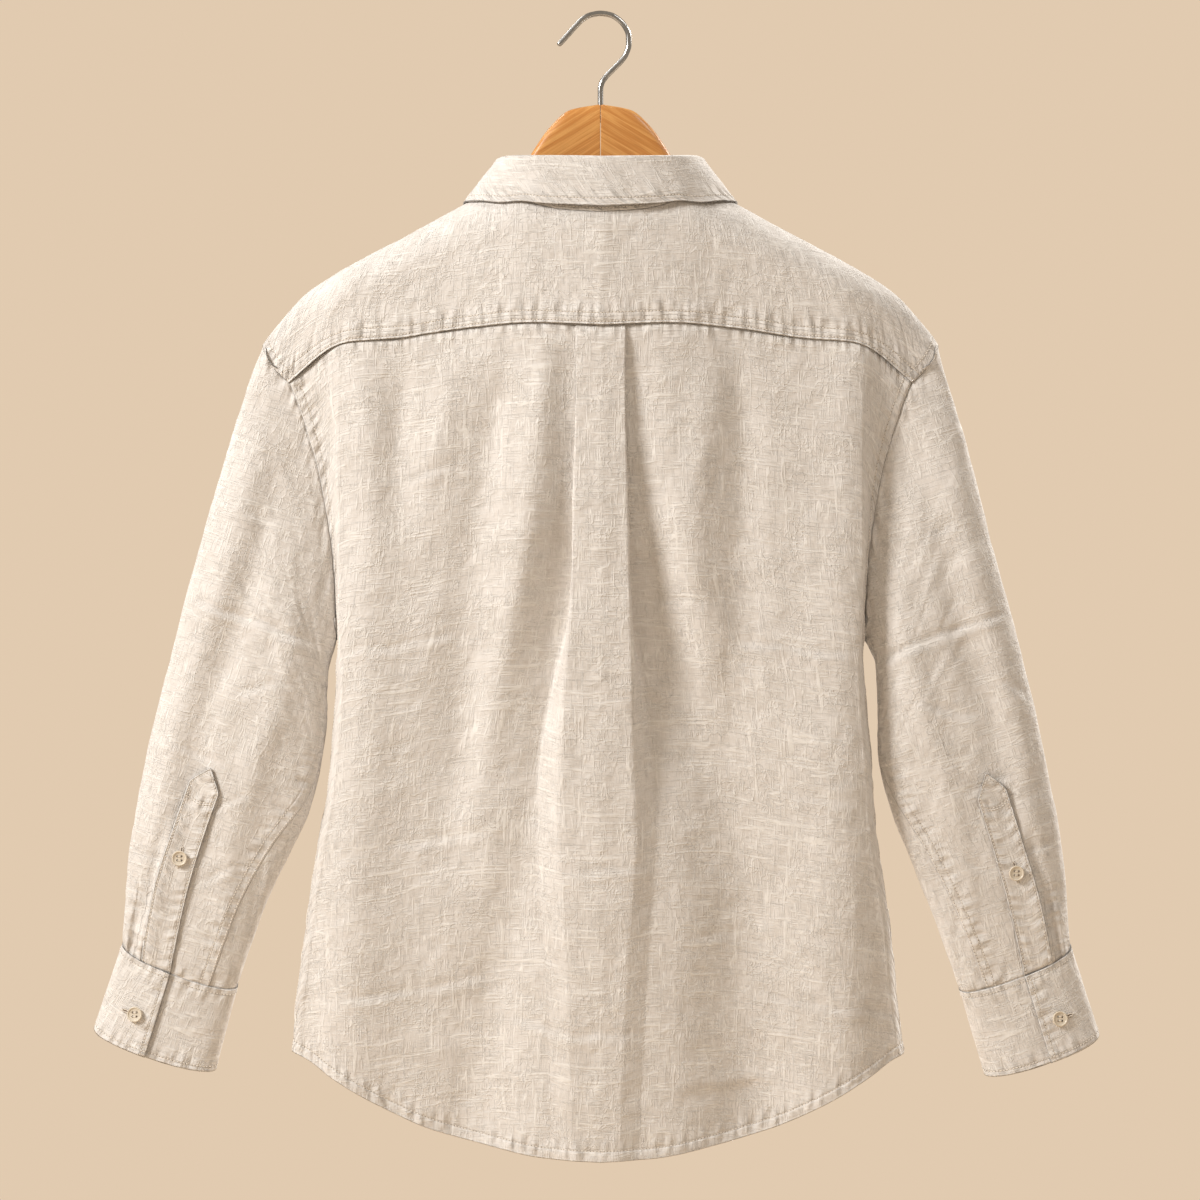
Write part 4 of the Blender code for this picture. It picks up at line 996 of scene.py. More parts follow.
def armhole_loop(hand, yoke):
    """Points round the armhole seam: over the yoke's end, down the back, then up the front."""
    end, before = (yoke[:, -1], yoke[:, -2]) if hand > 0 else (yoke[:, 0], yoke[:, 1])
    sides = []
    for side, start in ((1, BACK_ARMHOLE_TOP), (-1, FRONT_ARMHOLE_TOP)):
        z = start + (UNDERARM - start) * np.linspace(0, 1, ARMHOLE_STEPS + 1)
        y = side * through(ARMHOLE_DEPTH, z) * soft_step(UNDERARM, UNDERARM + 12, z)
        sides.append(np.stack([hand * through(ARMHOLE_EDGE, z), y, z], -1))
    back, front = sides
    top = end + unit(end - before) * SEAM_GAP
    return np.concatenate([top, back[1:], front[-2:0:-1]])


def loop_angles(loop):
    """Angle round the sleeve of each point of the armhole loop, and even angles further down."""
    top = loop[YOKE_STEPS // 2, 2]
    fall = np.clip((loop[:, 2] - top) / (UNDERARM - top), 0, 1)
    turn = np.where(np.arange(len(loop)) > YOKE_STEPS + ARMHOLE_STEPS, -1, 1)
    angle = np.arccos(1 - 2 * fall) * turn
    angle[:YOKE_STEPS + 1] = angle[YOKE_STEPS] * np.linspace(-1, 1, YOKE_STEPS + 1)
    angle = np.unwrap(angle)
    return angle, np.linspace(angle[0], angle[0] + 2 * math.pi, len(loop) + 1)[:-1]


def pleat_steps(table, x, z):
    """Pressed pleats that open upwards from the cuff: a step up, easing off across."""
    total = np.zeros_like(x)
    lines = []
    for x0, z0, x1, z1 in table:
        share = (z - z0) / (z1 - z0)
        off = (x - (x0 + (x1 - x0) * share)) * math.copysign(1, x1)
        fade = soft_step(0, 0.8, share)
        total += 2.6 * fade * soft_step(-2.4, 0, off) * np.exp(-np.maximum(off, 0) / 7)
        total -= 1.4 * fade * np.exp(-((off + 3) / 2.6) ** 2)
        lines.append(np.where(share > 0.1, off + 1.2, FAR))
    return total, nearest_of(*lines)


def felled_seam(off, v, seed):
    """Soft rise of the flat-felled seam down the sleeve, by distance from its crisp edge."""
    width = SLEEVE_SEAM_WIDTH
    raised = 0.5 * soft_step(3, -2, off) * soft_step(-width - 4, -width + 1, off)
    return raised + puckers(np.abs(off + width / 2), v, 5, 9, 0.5, seed)


def make_sleeve(hand, yoke, material):
    name = HANDS[hand]
    loop = armhole_loop(hand, yoke)
    angle, even = loop_angles(loop)
    shares = fine_ends(*SLEEVE_ROWS)
    lines, places = [], []
    for share in shares:
        mix = soft_step(0.05, 0.5, share)
        place = angle * (1 - mix) + even * mix
        hanging = sleeve_point(hand, share, (1 - np.cos(place)) / 2, np.sin(place))
        leave = soft_step(0, 0.15, share)
        lines.append(loop * (1 - leave) + hanging * leave)
        places.append(place)
    grid = np.stack(lines)
    u, v = spans(grid, 1), spans(grid, 0)
    to_cuff = v[-1] - v
    x, z = grid[..., 0], grid[..., 2]
    back = soft_step(0, 4, grid[..., 1])
    table = SLEEVE_CREASES_LEFT if hand > 0 else SLEEVE_CREASES_RIGHT
    pleats = CUFF_PLEATS_LEFT if hand > 0 else CUFF_PLEATS_RIGHT
    ring = np.array(places)
    rise = crumple(64 * np.cos(ring) + 40 * np.sin(ring), v + 30 * np.sin(ring), 30.0 + hand)
    pleat, pleat_lines = pleat_steps(pleats, x, z)
    rise += creases(table, x, z) * (0.6 + 0.4 * back) + pleat * back
    rise += puckers(v, u, 12, 10, 0.7, 40 + hand, 3) + puckers(v, u, 40, 21, 0.9, 42 + hand)
    rise += puckers(to_cuff, u, 14, 9, 0.9, 44 + hand, 2) + puckers(to_cuff, u, 40, 17, 1.1, 46)
    seam_angle = np.arccos(1 - 2 * through(SLEEVE_SEAM, shares))
    seam_u = np.array([np.interp(seam_angle[row], ring[row], u[row]) for row in range(len(shares))])
    off = u - seam_u[:, None]
    rise += felled_seam(off, v, 48 + hand)
    rise = rise * soft_step(0, 4, v) * (0.5 + 0.5 * soft_step(0, 5, to_cuff)) - 0.3
    grid = grid + outward(grid, True, True) * rise[..., None]
    lean = outward(grid, True, True)
    axis = np.array([hand * 0.3, 0, -0.954])
    down, across = grid @ axis, grid @ np.array([axis[2], 0, -axis[0]])
    beside = np.where(np.abs(off) > 60, 4 * FAR * np.sign(off), off)
    rows = nearest_of(np.where(back > 0.5, pleat_lines, FAR), beside + SLEEVE_SEAM_WIDTH)
    fields = fields_of(across, down, nearest_of(v, to_cuff), rows, -beside, grid[..., 1] * 1.5)
    cloth(f"cloth_sleeve_{name}", f"sleeve_{name}", grid, lean, fields, WALL, material, True,
          ("top", "foot"))
    shown = shares > 0.66
    for inset in (-1.6, -SLEEVE_SEAM_WIDTH):
        stitch_beside(grid[shown], lean[shown], [off[shown]], inset, WALL)


def resample(grid, rows, columns):
    """Finer grid on smooth curves through a grid's points."""
    def along_first(points, count):
        old = np.arange(len(points))
        new = np.linspace(0, len(points) - 1, count)
        flat = points.reshape(len(points), -1)
        lines = [through(list(zip(old, flat[:, column])), new) for column in range(flat.shape[1])]
        return np.stack(lines, -1).reshape((count,) + points.shape[1:])
    finer = along_first(grid, rows)
    return np.swapaxes(along_first(np.swapaxes(finer, 0, 1), columns), 0, 1)


def make_cuff(hand, material):
    name = HANDS[hand]
    places = cuff_places(160)
    layer = cuff_layer(places)
    grid = np.stack([cuff_point(hand, down, places, layer) for down in np.linspace(0, 1, 40)])
    v = spans(grid, 0)
    to_foot = v[-1] - v
    along, to_end = sides_of(grid)
    edges = np.minimum(np.minimum(v, to_foot), np.minimum(along, to_end))
    rise = 0.4 * crumple(along, v, 50.0 + hand) + puckers(edges, along + v, 3, 7, 0.4, 51, 3)
    grid = grid + outward(grid, False, True) * (rise * soft_step(0, 1.5, edges))[..., None]
    lean = outward(grid, False, True)
    fields = fields_of(along, v, nearest_of(v - CUFF_STITCH, to_foot - CUFF_STITCH),
                       nearest_of(along - CUFF_STITCH, to_end - CUFF_STITCH), edges)
    cloth(f"cloth_cuff_{name}", f"cuff_{name}", grid, lean, fields, STIFF_WALL, material)
    stitch_beside(grid, lean, (v, to_foot), CUFF_STITCH, STIFF_WALL, True)
    stitch_beside(grid, lean, (along, to_end), CUFF_STITCH, STIFF_WALL)
    return grid, lean


def make_placket(hand, material):
    name = HANDS[hand]
    lines = []
    for share in np.linspace(PLACKET[0][0], 0.998, 74):
        middle = through(PLACKET, share)
        half = np.interp(share, [row[0] for row in PLACKET], [row[2] for row in PLACKET])
        across = middle + half * np.linspace(-1, 1, 25)
        lines.append(sleeve_point(hand, share, across, np.sin(np.arccos(1 - 2 * across))))
    grid = np.stack(lines)
    v = spans(grid, 0)
    along, to_end = sides_of(grid)
    edges = np.minimum(along, to_end)
    rise = np.linspace(*PLACKET_LIFT, len(grid))[:, None] - 0.5 * soft_step(6, 0, v[-1] - v)
    rise = rise + 0.4 * crumple(along, v, 55.0 + hand) * soft_step(0, 3, edges)
    grid = grid + outward(grid) * rise[..., None]
    lean = outward(grid)
    fields = fields_of(along, v, v - PLACKET_BAR, np.abs(edges - PLACKET_STITCH),
                       np.minimum(edges, v * 0.8))
    cloth(f"cloth_placket_{name}", f"sleeve_placket_{name}", grid, lean, fields, WALL, material,
          ends=("foot",))
    inset = PLACKET_STITCH + soft_step(14, 2, v[2:].mean(1))
    stitch_beside(grid[2:], lean[2:], (along[2:], to_end[2:]), inset, WALL)
    for drop in (PLACKET_BAR, PLACKET_BAR + 1.8):
        stitch_beside(grid[:, 3:-3], lean[:, 3:-3], [v[:, 3:-3]], drop, WALL, True)
    return grid, lean


def stand_edges(places):
    """Foot and top edge of the collar's stand, at places round the neck."""
    base = neck_point(places)
    top = base * (*STAND_TOP_SHARE, 0)
    top[:, 2] = through(STAND_TOP, np.abs(places))
    return base, top


def make_stand(material):
    places = np.linspace(-STAND_LAP, STAND_LAP, 150)
    base, top = stand_edges(places)
    share = np.abs(places)
    layer = STAND_LAYER * np.sign(places) * soft_step(0.76, 0.93, share)
    base[:, 1] -= layer
    top[:, 1] -= layer
    over_ridge_gap = STAND_OVER_RIDGE * soft_step(0.28, 0.42, share) * soft_step(0.72, 0.6, share)
    base[:, 2] += SEAM_GAP + over_ridge_gap
    t = np.linspace(0, 1, 16)[:, None, None]
    grid = (base * (1 - t) + top * t)[::-1]
    v, along = spans(grid, 0), spans(grid, 1)
    to_base = v[-1] - v
    lean = outward(grid)
    fields = fields_of(along, v, to_base - STAND_STITCH)
    cloth("cloth_collar_stand", "collar_stand", grid, lean, fields, STIFF_WALL, material)
    stitch_beside(grid, lean, [to_base], STAND_STITCH, STIFF_WALL, True)


def make_leaf(material):
    shares = np.linspace(-1, 1, 73)
    size = np.abs(shares)
    top = stand_edges(shares * LEAF_END)[1]
    out = unit(top * (0.4, 1, 0))
    up = np.array([0, 0, 1.0])
    lines = [top + up * (rise + SEAM_GAP) + out * push for rise, push in LEAF_ROLL]
    edge_x = through(LEAF_EDGE, size) * np.sign(shares)
    edge = over_ridge(edge_x, through(LEAF_EDGE, size, 2))
    edge[:, 1] += LEAF_BACK_STANDOFF * soft_step(0.4, 0.1, size)
    edge[:, 2] += LEAF_CLEAR * soft_step(0.85, 0.55, size)
    start = lines[-1]
    for step in (0.16, 0.33, 0.5, 0.66, 0.83, 1.0):
        lines.append(clear_of_body(start + (edge - start) * step, size))
    grid = resample(np.stack(lines), 54, 200)
    v = spans(grid, 0)
    to_edge = v[-1] - v
    along, to_end = sides_of(grid)
    ends = np.minimum(along, to_end)
    edges = np.minimum(to_edge, ends)
    rise = 0.4 * crumple(along, v, 60.0) * soft_step(0, 6, v)
    rise += puckers(np.abs(edges - 3), along, 4, 8, 0.3, 61)
    grid = grid + outward(grid) * (rise * soft_step(0, 2, edges))[..., None]
    lean = outward(grid)
    fields = fields_of(along, v, to_edge - LEAF_STITCH, ends - LEAF_STITCH, edges)
    cloth("cloth_collar_leaf", "collar_leaf", grid, lean, fields, YOKE_WALL, material)
    stitch_beside(grid, lean, [to_edge], LEAF_STITCH, YOKE_WALL, True)
    shown = slice(8, -4)
    stitch_beside(grid[shown], lean[shown], (along[shown], to_end[shown]), LEAF_STITCH, YOKE_WALL)


def tube(name, rings, material, node, slot, places=None):
    """Closed solid skinned over rings of points, with both ends capped."""
    faces, caps = skin(*rings.shape[:2])
    return make_mesh(name, rings.reshape(-1, 3), faces + caps, material, [node], places)


def make_wood(hand, material):
    """One half of the hanger, rounded as in the frame but finer."""
    name = HANDS[hand]
    rounding = WOOD_END - WOOD_ROUNDING * np.cos(np.linspace(0, math.pi / 2, 12))[1:]
    places = np.concatenate([[0.2, 0.5], np.linspace(1.5, WOOD_END - WOOD_ROUNDING, 90), rounding])
    angles = circle(WOOD_SIDES)
    rings, grain = [], []
    for place in places:
        top, bottom = through(WOOD_TOP, place), through(WOOD_BOTTOM, place)
        near_end = math.sqrt(max(1 - max((place - WOOD_END + WOOD_ROUNDING) / 9.4, 0) ** 2, 0.02))
        middle, half = (top + bottom) / 2, (top - bottom) / 2
        start = 0.985 + 0.015 * min(place / 1.5, 1)
        half_y = WOOD_HALF_THICK * (0.55 + 0.45 * near_end) * start
        corner = np.abs(np.cos(angles)) ** 0.85 * np.sign(np.cos(angles))
        rise = np.abs(np.sin(angles)) ** 0.6 * np.sign(np.sin(angles))
        z = middle - 4 * (1 - near_end) + half * near_end * rise * start
        y = half_y * corner
        rings.append(np.stack([hand * (place + 0 * angles), y, z], -1))
        grain.append(np.stack([z + 0.62 * place, y, place * 0.85 - 0.5 * z + 300 * hand], -1))
    rings, grain = np.array(rings), np.array(grain)
    if hand > 0:
        rings, grain = rings[:, ::-1], grain[:, ::-1]
    grain = grain.reshape(-1, 3)
    tube(f"wood_{name}", rings, material, f"hanger_wood_{name}", "hanger_wood", grain)


def make_hook(material):
    path = resample(np.array([[(x, 0.0, z)] for x, z in HOOK_PATH]).repeat(2, 1), 150, 2)[:, 0]
    along = unit(np.gradient(path, axis=0))
    side = np.cross(along, (0, 1, 0))
    angles = circle(HOOK_SIDES)

    def ring(at, size):
        round_it = np.outer(np.cos(angles), side[at]) + np.outer(np.sin(angles), (0, 1, 0))
        return path[at] + size * round_it

    rings = [ring(0, HOOK_RADIUS * math.sin(turn)) - along[0] * HOOK_RADIUS * math.cos(turn)
             for turn in np.linspace(0.15, math.pi / 2, 7)[:-1]]
    rings += [ring(at, HOOK_RADIUS) for at in range(len(path))]
    tube("hook", np.array(rings), material, "hanger_hook", "hook_steel")


# Button: radius and height of its turned section, and its holes
BUTTON_SECTION = ((4.2, 0), (5.6, 0.35), (6.25, 0.95), (6.4, 1.5), (6.25, 2.15), (5.9, 2.55),
                  (5.5, 2.6), (5.1, 2.35), (4.7, 1.9), (3.9, 1.7))
BUTTON_SIDES = 48
HOLE_RADIUS = 0.95
HOLE_PLACE = 1.65
HOLE_OUT = 1.414 * HOLE_PLACE
THREAD_RISE = 1.75
THREAD_RADIUS = 0.34

# Buttonhole: distance from thread to thread, how far its banks stand from the slit, the reach of
# a thread in a bank and in an end bar, and the bar's width
HOLE_PITCH = 0.62
BANK_OFFSET = 0.95
BANK_REACH = 1.4
BAR_REACH = 2.2
BAR_WIDTH = 1.3


def button_mesh(material):
    """Turned button with a raised rim and four holes, lying on z = 0 and facing +Z."""
    angles = circle(BUTTON_SIDES)
    rings = [np.stack([radius * np.cos(angles), radius * np.sin(angles), height + 0 * angles], -1)
             for radius, height in BUTTON_SECTION]
    blank = tube("button_blank", np.array(rings), material, "button_front_1", "button")
    cutters = []
    for turn in (0.25, 0.75, 1.25, 1.75):
        angle = turn * math.pi
        place = (HOLE_OUT * math.cos(angle) * MM, HOLE_OUT * math.sin(angle) * MM, 0)
        bpy.ops.mesh.primitive_cylinder_add(vertices=20, radius=HOLE_RADIUS * MM, depth=8 * MM,
                                            location=place)
        cut = blank.modifiers.new("hole", "BOOLEAN")
        cut.operation = "DIFFERENCE"
        cut.object = bpy.context.object
        cutters.append(bpy.context.object)
    graph = bpy.context.evaluated_depsgraph_get()
    made = bpy.data.meshes.new_from_object(blank.evaluated_get(graph))
    for item in cutters + [blank]:
        bpy.data.objects.remove(item)
    made.materials.clear()
    made.materials.append(material)
    made.shade_smooth()
    made.set_sharp_from_angle(angle=math.radians(32))
    return made


def place_button(name, mesh, seat, lean):
    """Copies the button to its seat and sews it on through its holes."""
    piece = add_object(f"sewn_{name}", mesh.copy())
    turned = Vector(lean).normalized().to_track_quat("Z", "Y").to_matrix().to_4x4()
    turned.translation = Vector(seat) * MM
    piece.data.transform(turned)
    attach(piece, "root")
    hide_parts(name)
    side = np.array(turned.to_3x3() @ Vector((1, 0, 0)))
    up = np.cross(lean, side)
    steps = np.linspace(-1.2, 1.2, 5)[:, None] * HOLE_PLACE * side
    for row in (-HOLE_PLACE, HOLE_PLACE):
        path = seat + lean * THREAD_RISE + up * row + steps
        stitch_line(path, np.tile(lean, (5, 1)), 0.2, 4.0, 3.9, THREAD_RADIUS)


def buttonhole(centre, lean, along, half=7.2):
    """Close-stitched buttonhole: a slit, drawn as one long stitch in painted shade, between two banks
    of stitches, and a bar at each end.
    """
    lean = unit(lean)
    along = unit(along - lean * np.dot(along, lean))
    side = np.cross(lean, along)
    # The slit is a thread painted wholly in shade, standing for the shadow in the opening
    slit = centre + along * np.linspace(1 - half, half - 1, 5)[:, None]
    stitch_line(slit, np.tile(lean, (5, 1)), 0.1, 2 * half, 2 * half - 2, 0.45, 1.0)
    for place in np.arange(-half, half + 0.01, HOLE_PITCH):
        bar = abs(place) > half - BAR_WIDTH
        reach = BAR_REACH if bar else BANK_REACH
        for offset in ((0,) if bar else (BANK_OFFSET, -BANK_OFFSET)):
            ends = np.linspace(-0.5, 0.5, 3)[:, None] * side * reach
            path = centre + along * place + side * offset + ends
            stitch_line(path, np.tile(lean, (3, 1)), 0.2, reach, reach * 0.97, THREAD_RADIUS)


def centre_of(node):
    """Middle of one of the frame's nodes, in millimetres."""
    low, high = (np.array(corner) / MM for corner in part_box(node))
    return (low + high) / 2


def make_front_buttons(mesh):
    lean = np.array([0, -1.0, 0])
    for number in range(1, 8):
        centre = centre_of(f"button_front_{number}")
        place_button(f"button_front_{number}", mesh, centre - lean * BUTTON_THICK / 2, lean)
        hole = centre - lean * (BUTTON_THICK / 2 + BUTTON_SEAT)
        level = number == 1
        along = np.array([1.0, 0, 0] if level else [0, 0, 1.0])
        buttonhole(hole + along * (2.5 if level else 4.0), lean, along)


def make_sleeve_buttons(mesh, kind, cloths, thickness, hole_axis, hole_shift, half):
    """Button and buttonhole of a cuff or placket on each sleeve, set on the nearest cloth."""
    for hand, name in HANDS.items():
        grid, lean = cloths[hand]
        centre = centre_of(f"button_{kind}_{name}")
        points, leans = grid.reshape(-1, 3), lean.reshape(-1, 3)
        gap = np.linalg.norm(points - centre, axis=1) + FAR * (leans[:, 1] < 0.2)
        up = leans[gap.argmin()]
        near = points[gap < BUTTON_REACH]
        height = ((near - centre) @ up).max() + thickness / 2 + 0.1
        seat = centre + up * max(height, -BUTTON_THICK / 2)
        place_button(f"button_{kind}_{name}", mesh, seat, up)
        axis = np.array(hole_axis) * (hand, 1, 1)
        shift = unit(axis) * hole_shift
        beside = points[np.linalg.norm(points - seat - shift * 1.6, axis=1).argmin()]
        level = np.dot(beside - seat, up) + thickness / 2
        buttonhole(seat + up * min(level, 0) + shift, up, axis, half)


def set_inputs(node, inputs):
    """Sets or links a node's inputs, by their names or numbers."""
    for key, value in inputs.items():
        if isinstance(value, bpy.types.NodeSocket):
            node.id_data.links.new(value, node.inputs[key])
        else:
            node.inputs[key].default_value = value


def node_kit(tree):
    """Short way of adding nodes to a tree."""
    def add(kind, inputs=(), **settings):
        node = tree.nodes.new(kind)
        for key, value in settings.items():
            setattr(node, key, value)
        set_inputs(node, dict(inputs))
        return node
    return add


def carried(add, name):
    """Vector that a mesh carries for its material."""
    return add("ShaderNodeAttribute", attribute_name=name, attribute_type="GEOMETRY").outputs["Vector"]


def calculate(add, operation, a, b=0.0, c=0.0):
    return add("ShaderNodeMath", {0: a, 1: b, 2: c}, operation=operation).outputs[0]


def ramp(add, value, low, high):
    """Smooth step from 0 at one value to 1 at another."""
    inputs = {"Value": value, "From Min": low, "From Max": high}
    return add("ShaderNodeMapRange", inputs, interpolation_type="SMOOTHSTEP").outputs["Result"]


def blend(add, share, first, second):
    """Mix of two colours."""
    return add("ShaderNodeMix", {0: share, 6: first, 7: second}, data_type="RGBA").outputs[2]


def stretched_noise(add, place, scale, detail=2.0, roughness=0.5):
    """Noise read at a place whose axes are scaled apart."""
    mapped = add("ShaderNodeVectorMath", {0: place, 1: scale}, operation="MULTIPLY").outputs[0]
    inputs = {"Vector": mapped, "Scale": 1.0, "Detail": detail, "Roughness": roughness}
    return add("ShaderNodeTexNoise", inputs).outputs["Fac"]


def wandering_lines(add, place, scale, width, patch_scale, shown):
    """Thin lines where a stretched noise crosses its middle, broken up by a second noise."""
    value = stretched_noise(add, place, scale, 1.0)
    off = calculate(add, "ABSOLUTE", calculate(add, "SUBTRACT", value, 0.5))
    patch = stretched_noise(add, place, patch_scale, 1.0)
    shown_here = ramp(add, patch, shown - 0.05, shown + 0.05)
    return calculate(add, "MULTIPLY", ramp(add, off, width, 0.0), shown_here)


def bell(add, distance, half):
    """1 at no distance, fading smoothly to 0 over about two half widths."""
    share = calculate(add, "DIVIDE", distance, half)
    squared = calculate(add, "MULTIPLY", share, share)
    return calculate(add, "EXPONENT", calculate(add, "MULTIPLY", squared, -1.0))


def seam_height(add, place):
    """Furrows under rows of stitches, wrinkles beside them, and beads along edges, in millimetres."""
    level, upright, edge = add("ShaderNodeSeparateXYZ", {0: carried(add, "seam")}).outputs[:3]
    total = calculate(add, "MULTIPLY", bell(add, calculate(add, "SUBTRACT", edge, 0.8), 0.75), 0.4)
    step = calculate(add, "MULTIPLY", ramp(add, edge, -0.45, 0.35), bell(add, edge, 14.0))
    total = calculate(add, "MULTIPLY_ADD", step, 0.9, total)
    for row, scale in ((level, (0.15, 0.045, 0.15)), (upright, (0.045, 0.15, 0.045))):
        total = calculate(add, "MULTIPLY_ADD", bell(add, row, 0.85), -0.5, total)
        ripple = calculate(add, "SUBTRACT", stretched_noise(add, place, scale, 0.0), 0.5)
        reach = calculate(add, "MULTIPLY", bell(add, row, 8.0), ripple)
        total = calculate(add, "MULTIPLY_ADD", reach, 5.0, total)
    return total


def new_material(name, roughness):
    material = bpy.data.materials.new(name)
    material.use_nodes = True
    shader = material.node_tree.nodes["Principled BSDF"]
    set_inputs(shader, {"Roughness": roughness})
    return material, shader, node_kit(material.node_tree)


# Colours as red, green, blue and opacity
LINEN_LIGHT = (0.80, 0.76, 0.722, 1)
LINEN_DEEP = (0.69, 0.642, 0.592, 1)
# Lighter slub thread, also painted highlight along raised threads and wrinkle squiggles
LINEN_SLUB_AND_HIGHLIGHT = (0.91, 0.88, 0.835, 1)
LINEN_SPECK = (0.27, 0.17, 0.095, 1)
THREAD_LIGHT = (0.86, 0.80, 0.72, 1)
# Painted shade at the ends of stitches, where they go into the cloth, and in buttonhole slits
THREAD_PAINTED_SHADE = (0.17, 0.11, 0.07, 1)
BUTTON_DEEP = (0.62, 0.52, 0.39, 1)
BUTTON_LIGHT = (0.84, 0.78, 0.67, 1)
WOOD_DEEP = (0.58, 0.232, 0.052, 1)
WOOD_LIGHT = (0.77, 0.385, 0.115, 1)
WOOD_PORE = (0.28, 0.11, 0.03, 1)
STEEL_DEEP = (0.36, 0.36, 0.36, 1)
STEEL_LIGHT = (0.62, 0.615, 0.6, 1)

# Lines drawn on the linen: scales of the noise that draws them, their width, scales of the noise
# that breaks them up, and the level above which they show
WEFT = ((0.011, 0.17, 0.011), 0.030, (0.035, 0.11, 0.035), 0.44)
WEFT_THIN = ((0.020, 0.38, 0.020), 0.045, (0.06, 0.16, 0.06), 0.50)
WARP = ((0.17, 0.012, 0.17), 0.030, (0.11, 0.035, 0.11), 0.47)
WARP_THIN = ((0.36, 0.022, 0.36), 0.045, (0.16, 0.06, 0.16), 0.52)
SQUIGGLE = ((0.15, 0.13, 0.15), 0.035, (0.03, 0.028, 0.03), 0.50)

# Relief of the linen in millimetres: its lines, its fine grain and its dents
LINE_HEIGHT = 0.26
GRAIN_HEIGHT = 0.10
DENT_HEIGHT = 1.5


def linen_material():
    """Plain-woven linen: fine uneven threads both ways, raised slubs, squiggles and flecks; the slubs
    are painted lighter, partly as lighter thread and partly as painted highlight on their raised tops,
    and the squiggles as painted highlight on small wrinkles.
    """
    material, shader, add = new_material("linen", 0.92)
    place = carried(add, "cut")
    lines = wandering_lines(add, place, *WEFT)
    for row in (WARP, WEFT_THIN, WARP_THIN):
        lines = calculate(add, "MAXIMUM", lines, wandering_lines(add, place, *row))
    squiggle = wandering_lines(add, place, *SQUIGGLE)
    fine = calculate(add, "ADD", stretched_noise(add, place, (1.5, 0.12, 1.5), 1.0),
                     stretched_noise(add, place, (0.11, 1.55, 0.11), 1.0))
    cloudy = stretched_noise(add, place, (0.035, 0.03, 0.035), 3.0)
    tone = calculate(add, "MULTIPLY_ADD", calculate(add, "SUBTRACT", fine, 1.0), 0.8, cloudy)
    colour = blend(add, ramp(add, tone, 0.1, 0.8), LINEN_DEEP, LINEN_LIGHT)
    # Slubs lightened partly as lighter thread and partly as painted highlight; squiggles lightened as
    # painted highlight
    light = calculate(add, "MAXIMUM", calculate(add, "MULTIPLY", lines, 0.6),
                      calculate(add, "MULTIPLY", squiggle, 0.3))
    colour = blend(add, light, colour, LINEN_SLUB_AND_HIGHLIGHT)
    cell = add("ShaderNodeTexVoronoi", {"Vector": place, "Scale": 0.055})
    fleck = calculate(add, "MULTIPLY", ramp(add, cell.outputs["Distance"], 0.045, 0.025), 0.5)
    colour = blend(add, fleck, colour, LINEN_SPECK)
    dents = stretched_noise(add, place, (0.10, 0.085, 0.1), 2.0, 0.45)
    height = calculate(add, "MULTIPLY", fine, GRAIN_HEIGHT)
    for part, rise in ((lines, LINE_HEIGHT), (squiggle, LINE_HEIGHT), (dents, DENT_HEIGHT)):
        height = calculate(add, "MULTIPLY_ADD", part, rise, height)
    height = calculate(add, "ADD", height, seam_height(add, place))
    bump = add("ShaderNodeBump", {"Height": height, "Strength": 1.0, "Distance": 0.001})
    set_inputs(shader, {"Base Color": colour, "Normal": bump.outputs[0], "Sheen Weight": 0.08,
                        "Sheen Roughness": 0.6, "Specular IOR Level": 0.2})
    return material


def thread_material():
    """Linen thread, with painted shade at the ends where a stitch goes down into the cloth, and over
    the whole of any stitch flagged dark.
    """
    material, shader, add = new_material("thread", 0.85)
    along = add("ShaderNodeSeparateXYZ", {0: carried(add, "cut")}).outputs[0]
    colour = blend(add, ramp(add, along, 0.34, 0.42), THREAD_LIGHT, THREAD_PAINTED_SHADE)
    set_inputs(shader, {"Base Color": colour})
    return material


def button_material():
    material, shader, add = new_material("button_shell", 0.36)
    place = add("ShaderNodeTexCoord").outputs["Object"]
    cloud = stretched_noise(add, place, (120, 120, 120), 3.0)
    colour = blend(add, cloud, BUTTON_DEEP, BUTTON_LIGHT)
    set_inputs(shader, {"Base Color": colour})
    return material


def wood_material():
    """Lacquered honey-coloured wood, its grain rising from both arms to the middle joint."""
    material, shader, add = new_material("honey_wood", 0.34)
    place = carried(add, "cut")
    broad = stretched_noise(add, place, (0.11, 0.06, 0.006), 3.0, 0.55)
    fine = stretched_noise(add, place, (0.9, 0.3, 0.012), 2.0, 0.6)
    pores = stretched_noise(add, place, (2.2, 1.2, 0.05), 1.0)
    band = calculate(add, "SINE", calculate(add, "MULTIPLY", broad, 30.0))
    tone = calculate(add, "MULTIPLY_ADD", band, 0.16, fine)
    colour = blend(add, ramp(add, tone, 0.2, 0.85), WOOD_DEEP, WOOD_LIGHT)
    dark = calculate(add, "MULTIPLY", ramp(add, pores, 0.66, 0.74), 0.4)
    colour = blend(add, dark, colour, WOOD_PORE)
    bump = add("ShaderNodeBump", {"Height": fine, "Strength": 0.25, "Distance": 0.0004})
    set_inputs(shader, {"Base Color": colour, "Normal": bump.outputs[0], "Coat Weight": 0.3,
                        "Coat Roughness": 0.25})
    return material


def steel_material():
    material, shader, add = new_material("hook_steel", 0.24)
    place = add("ShaderNodeTexCoord").outputs["Object"]
    wear = stretched_noise(add, place, (260, 260, 60), 3.0)
    colour = blend(add, wear, STEEL_DEEP, STEEL_LIGHT)
    rough = calculate(add, "MULTIPLY_ADD", wear, 0.2, 0.14)
    set_inputs(shader, {"Base Color": colour, "Metallic": 1.0, "Roughness": rough})
    return material


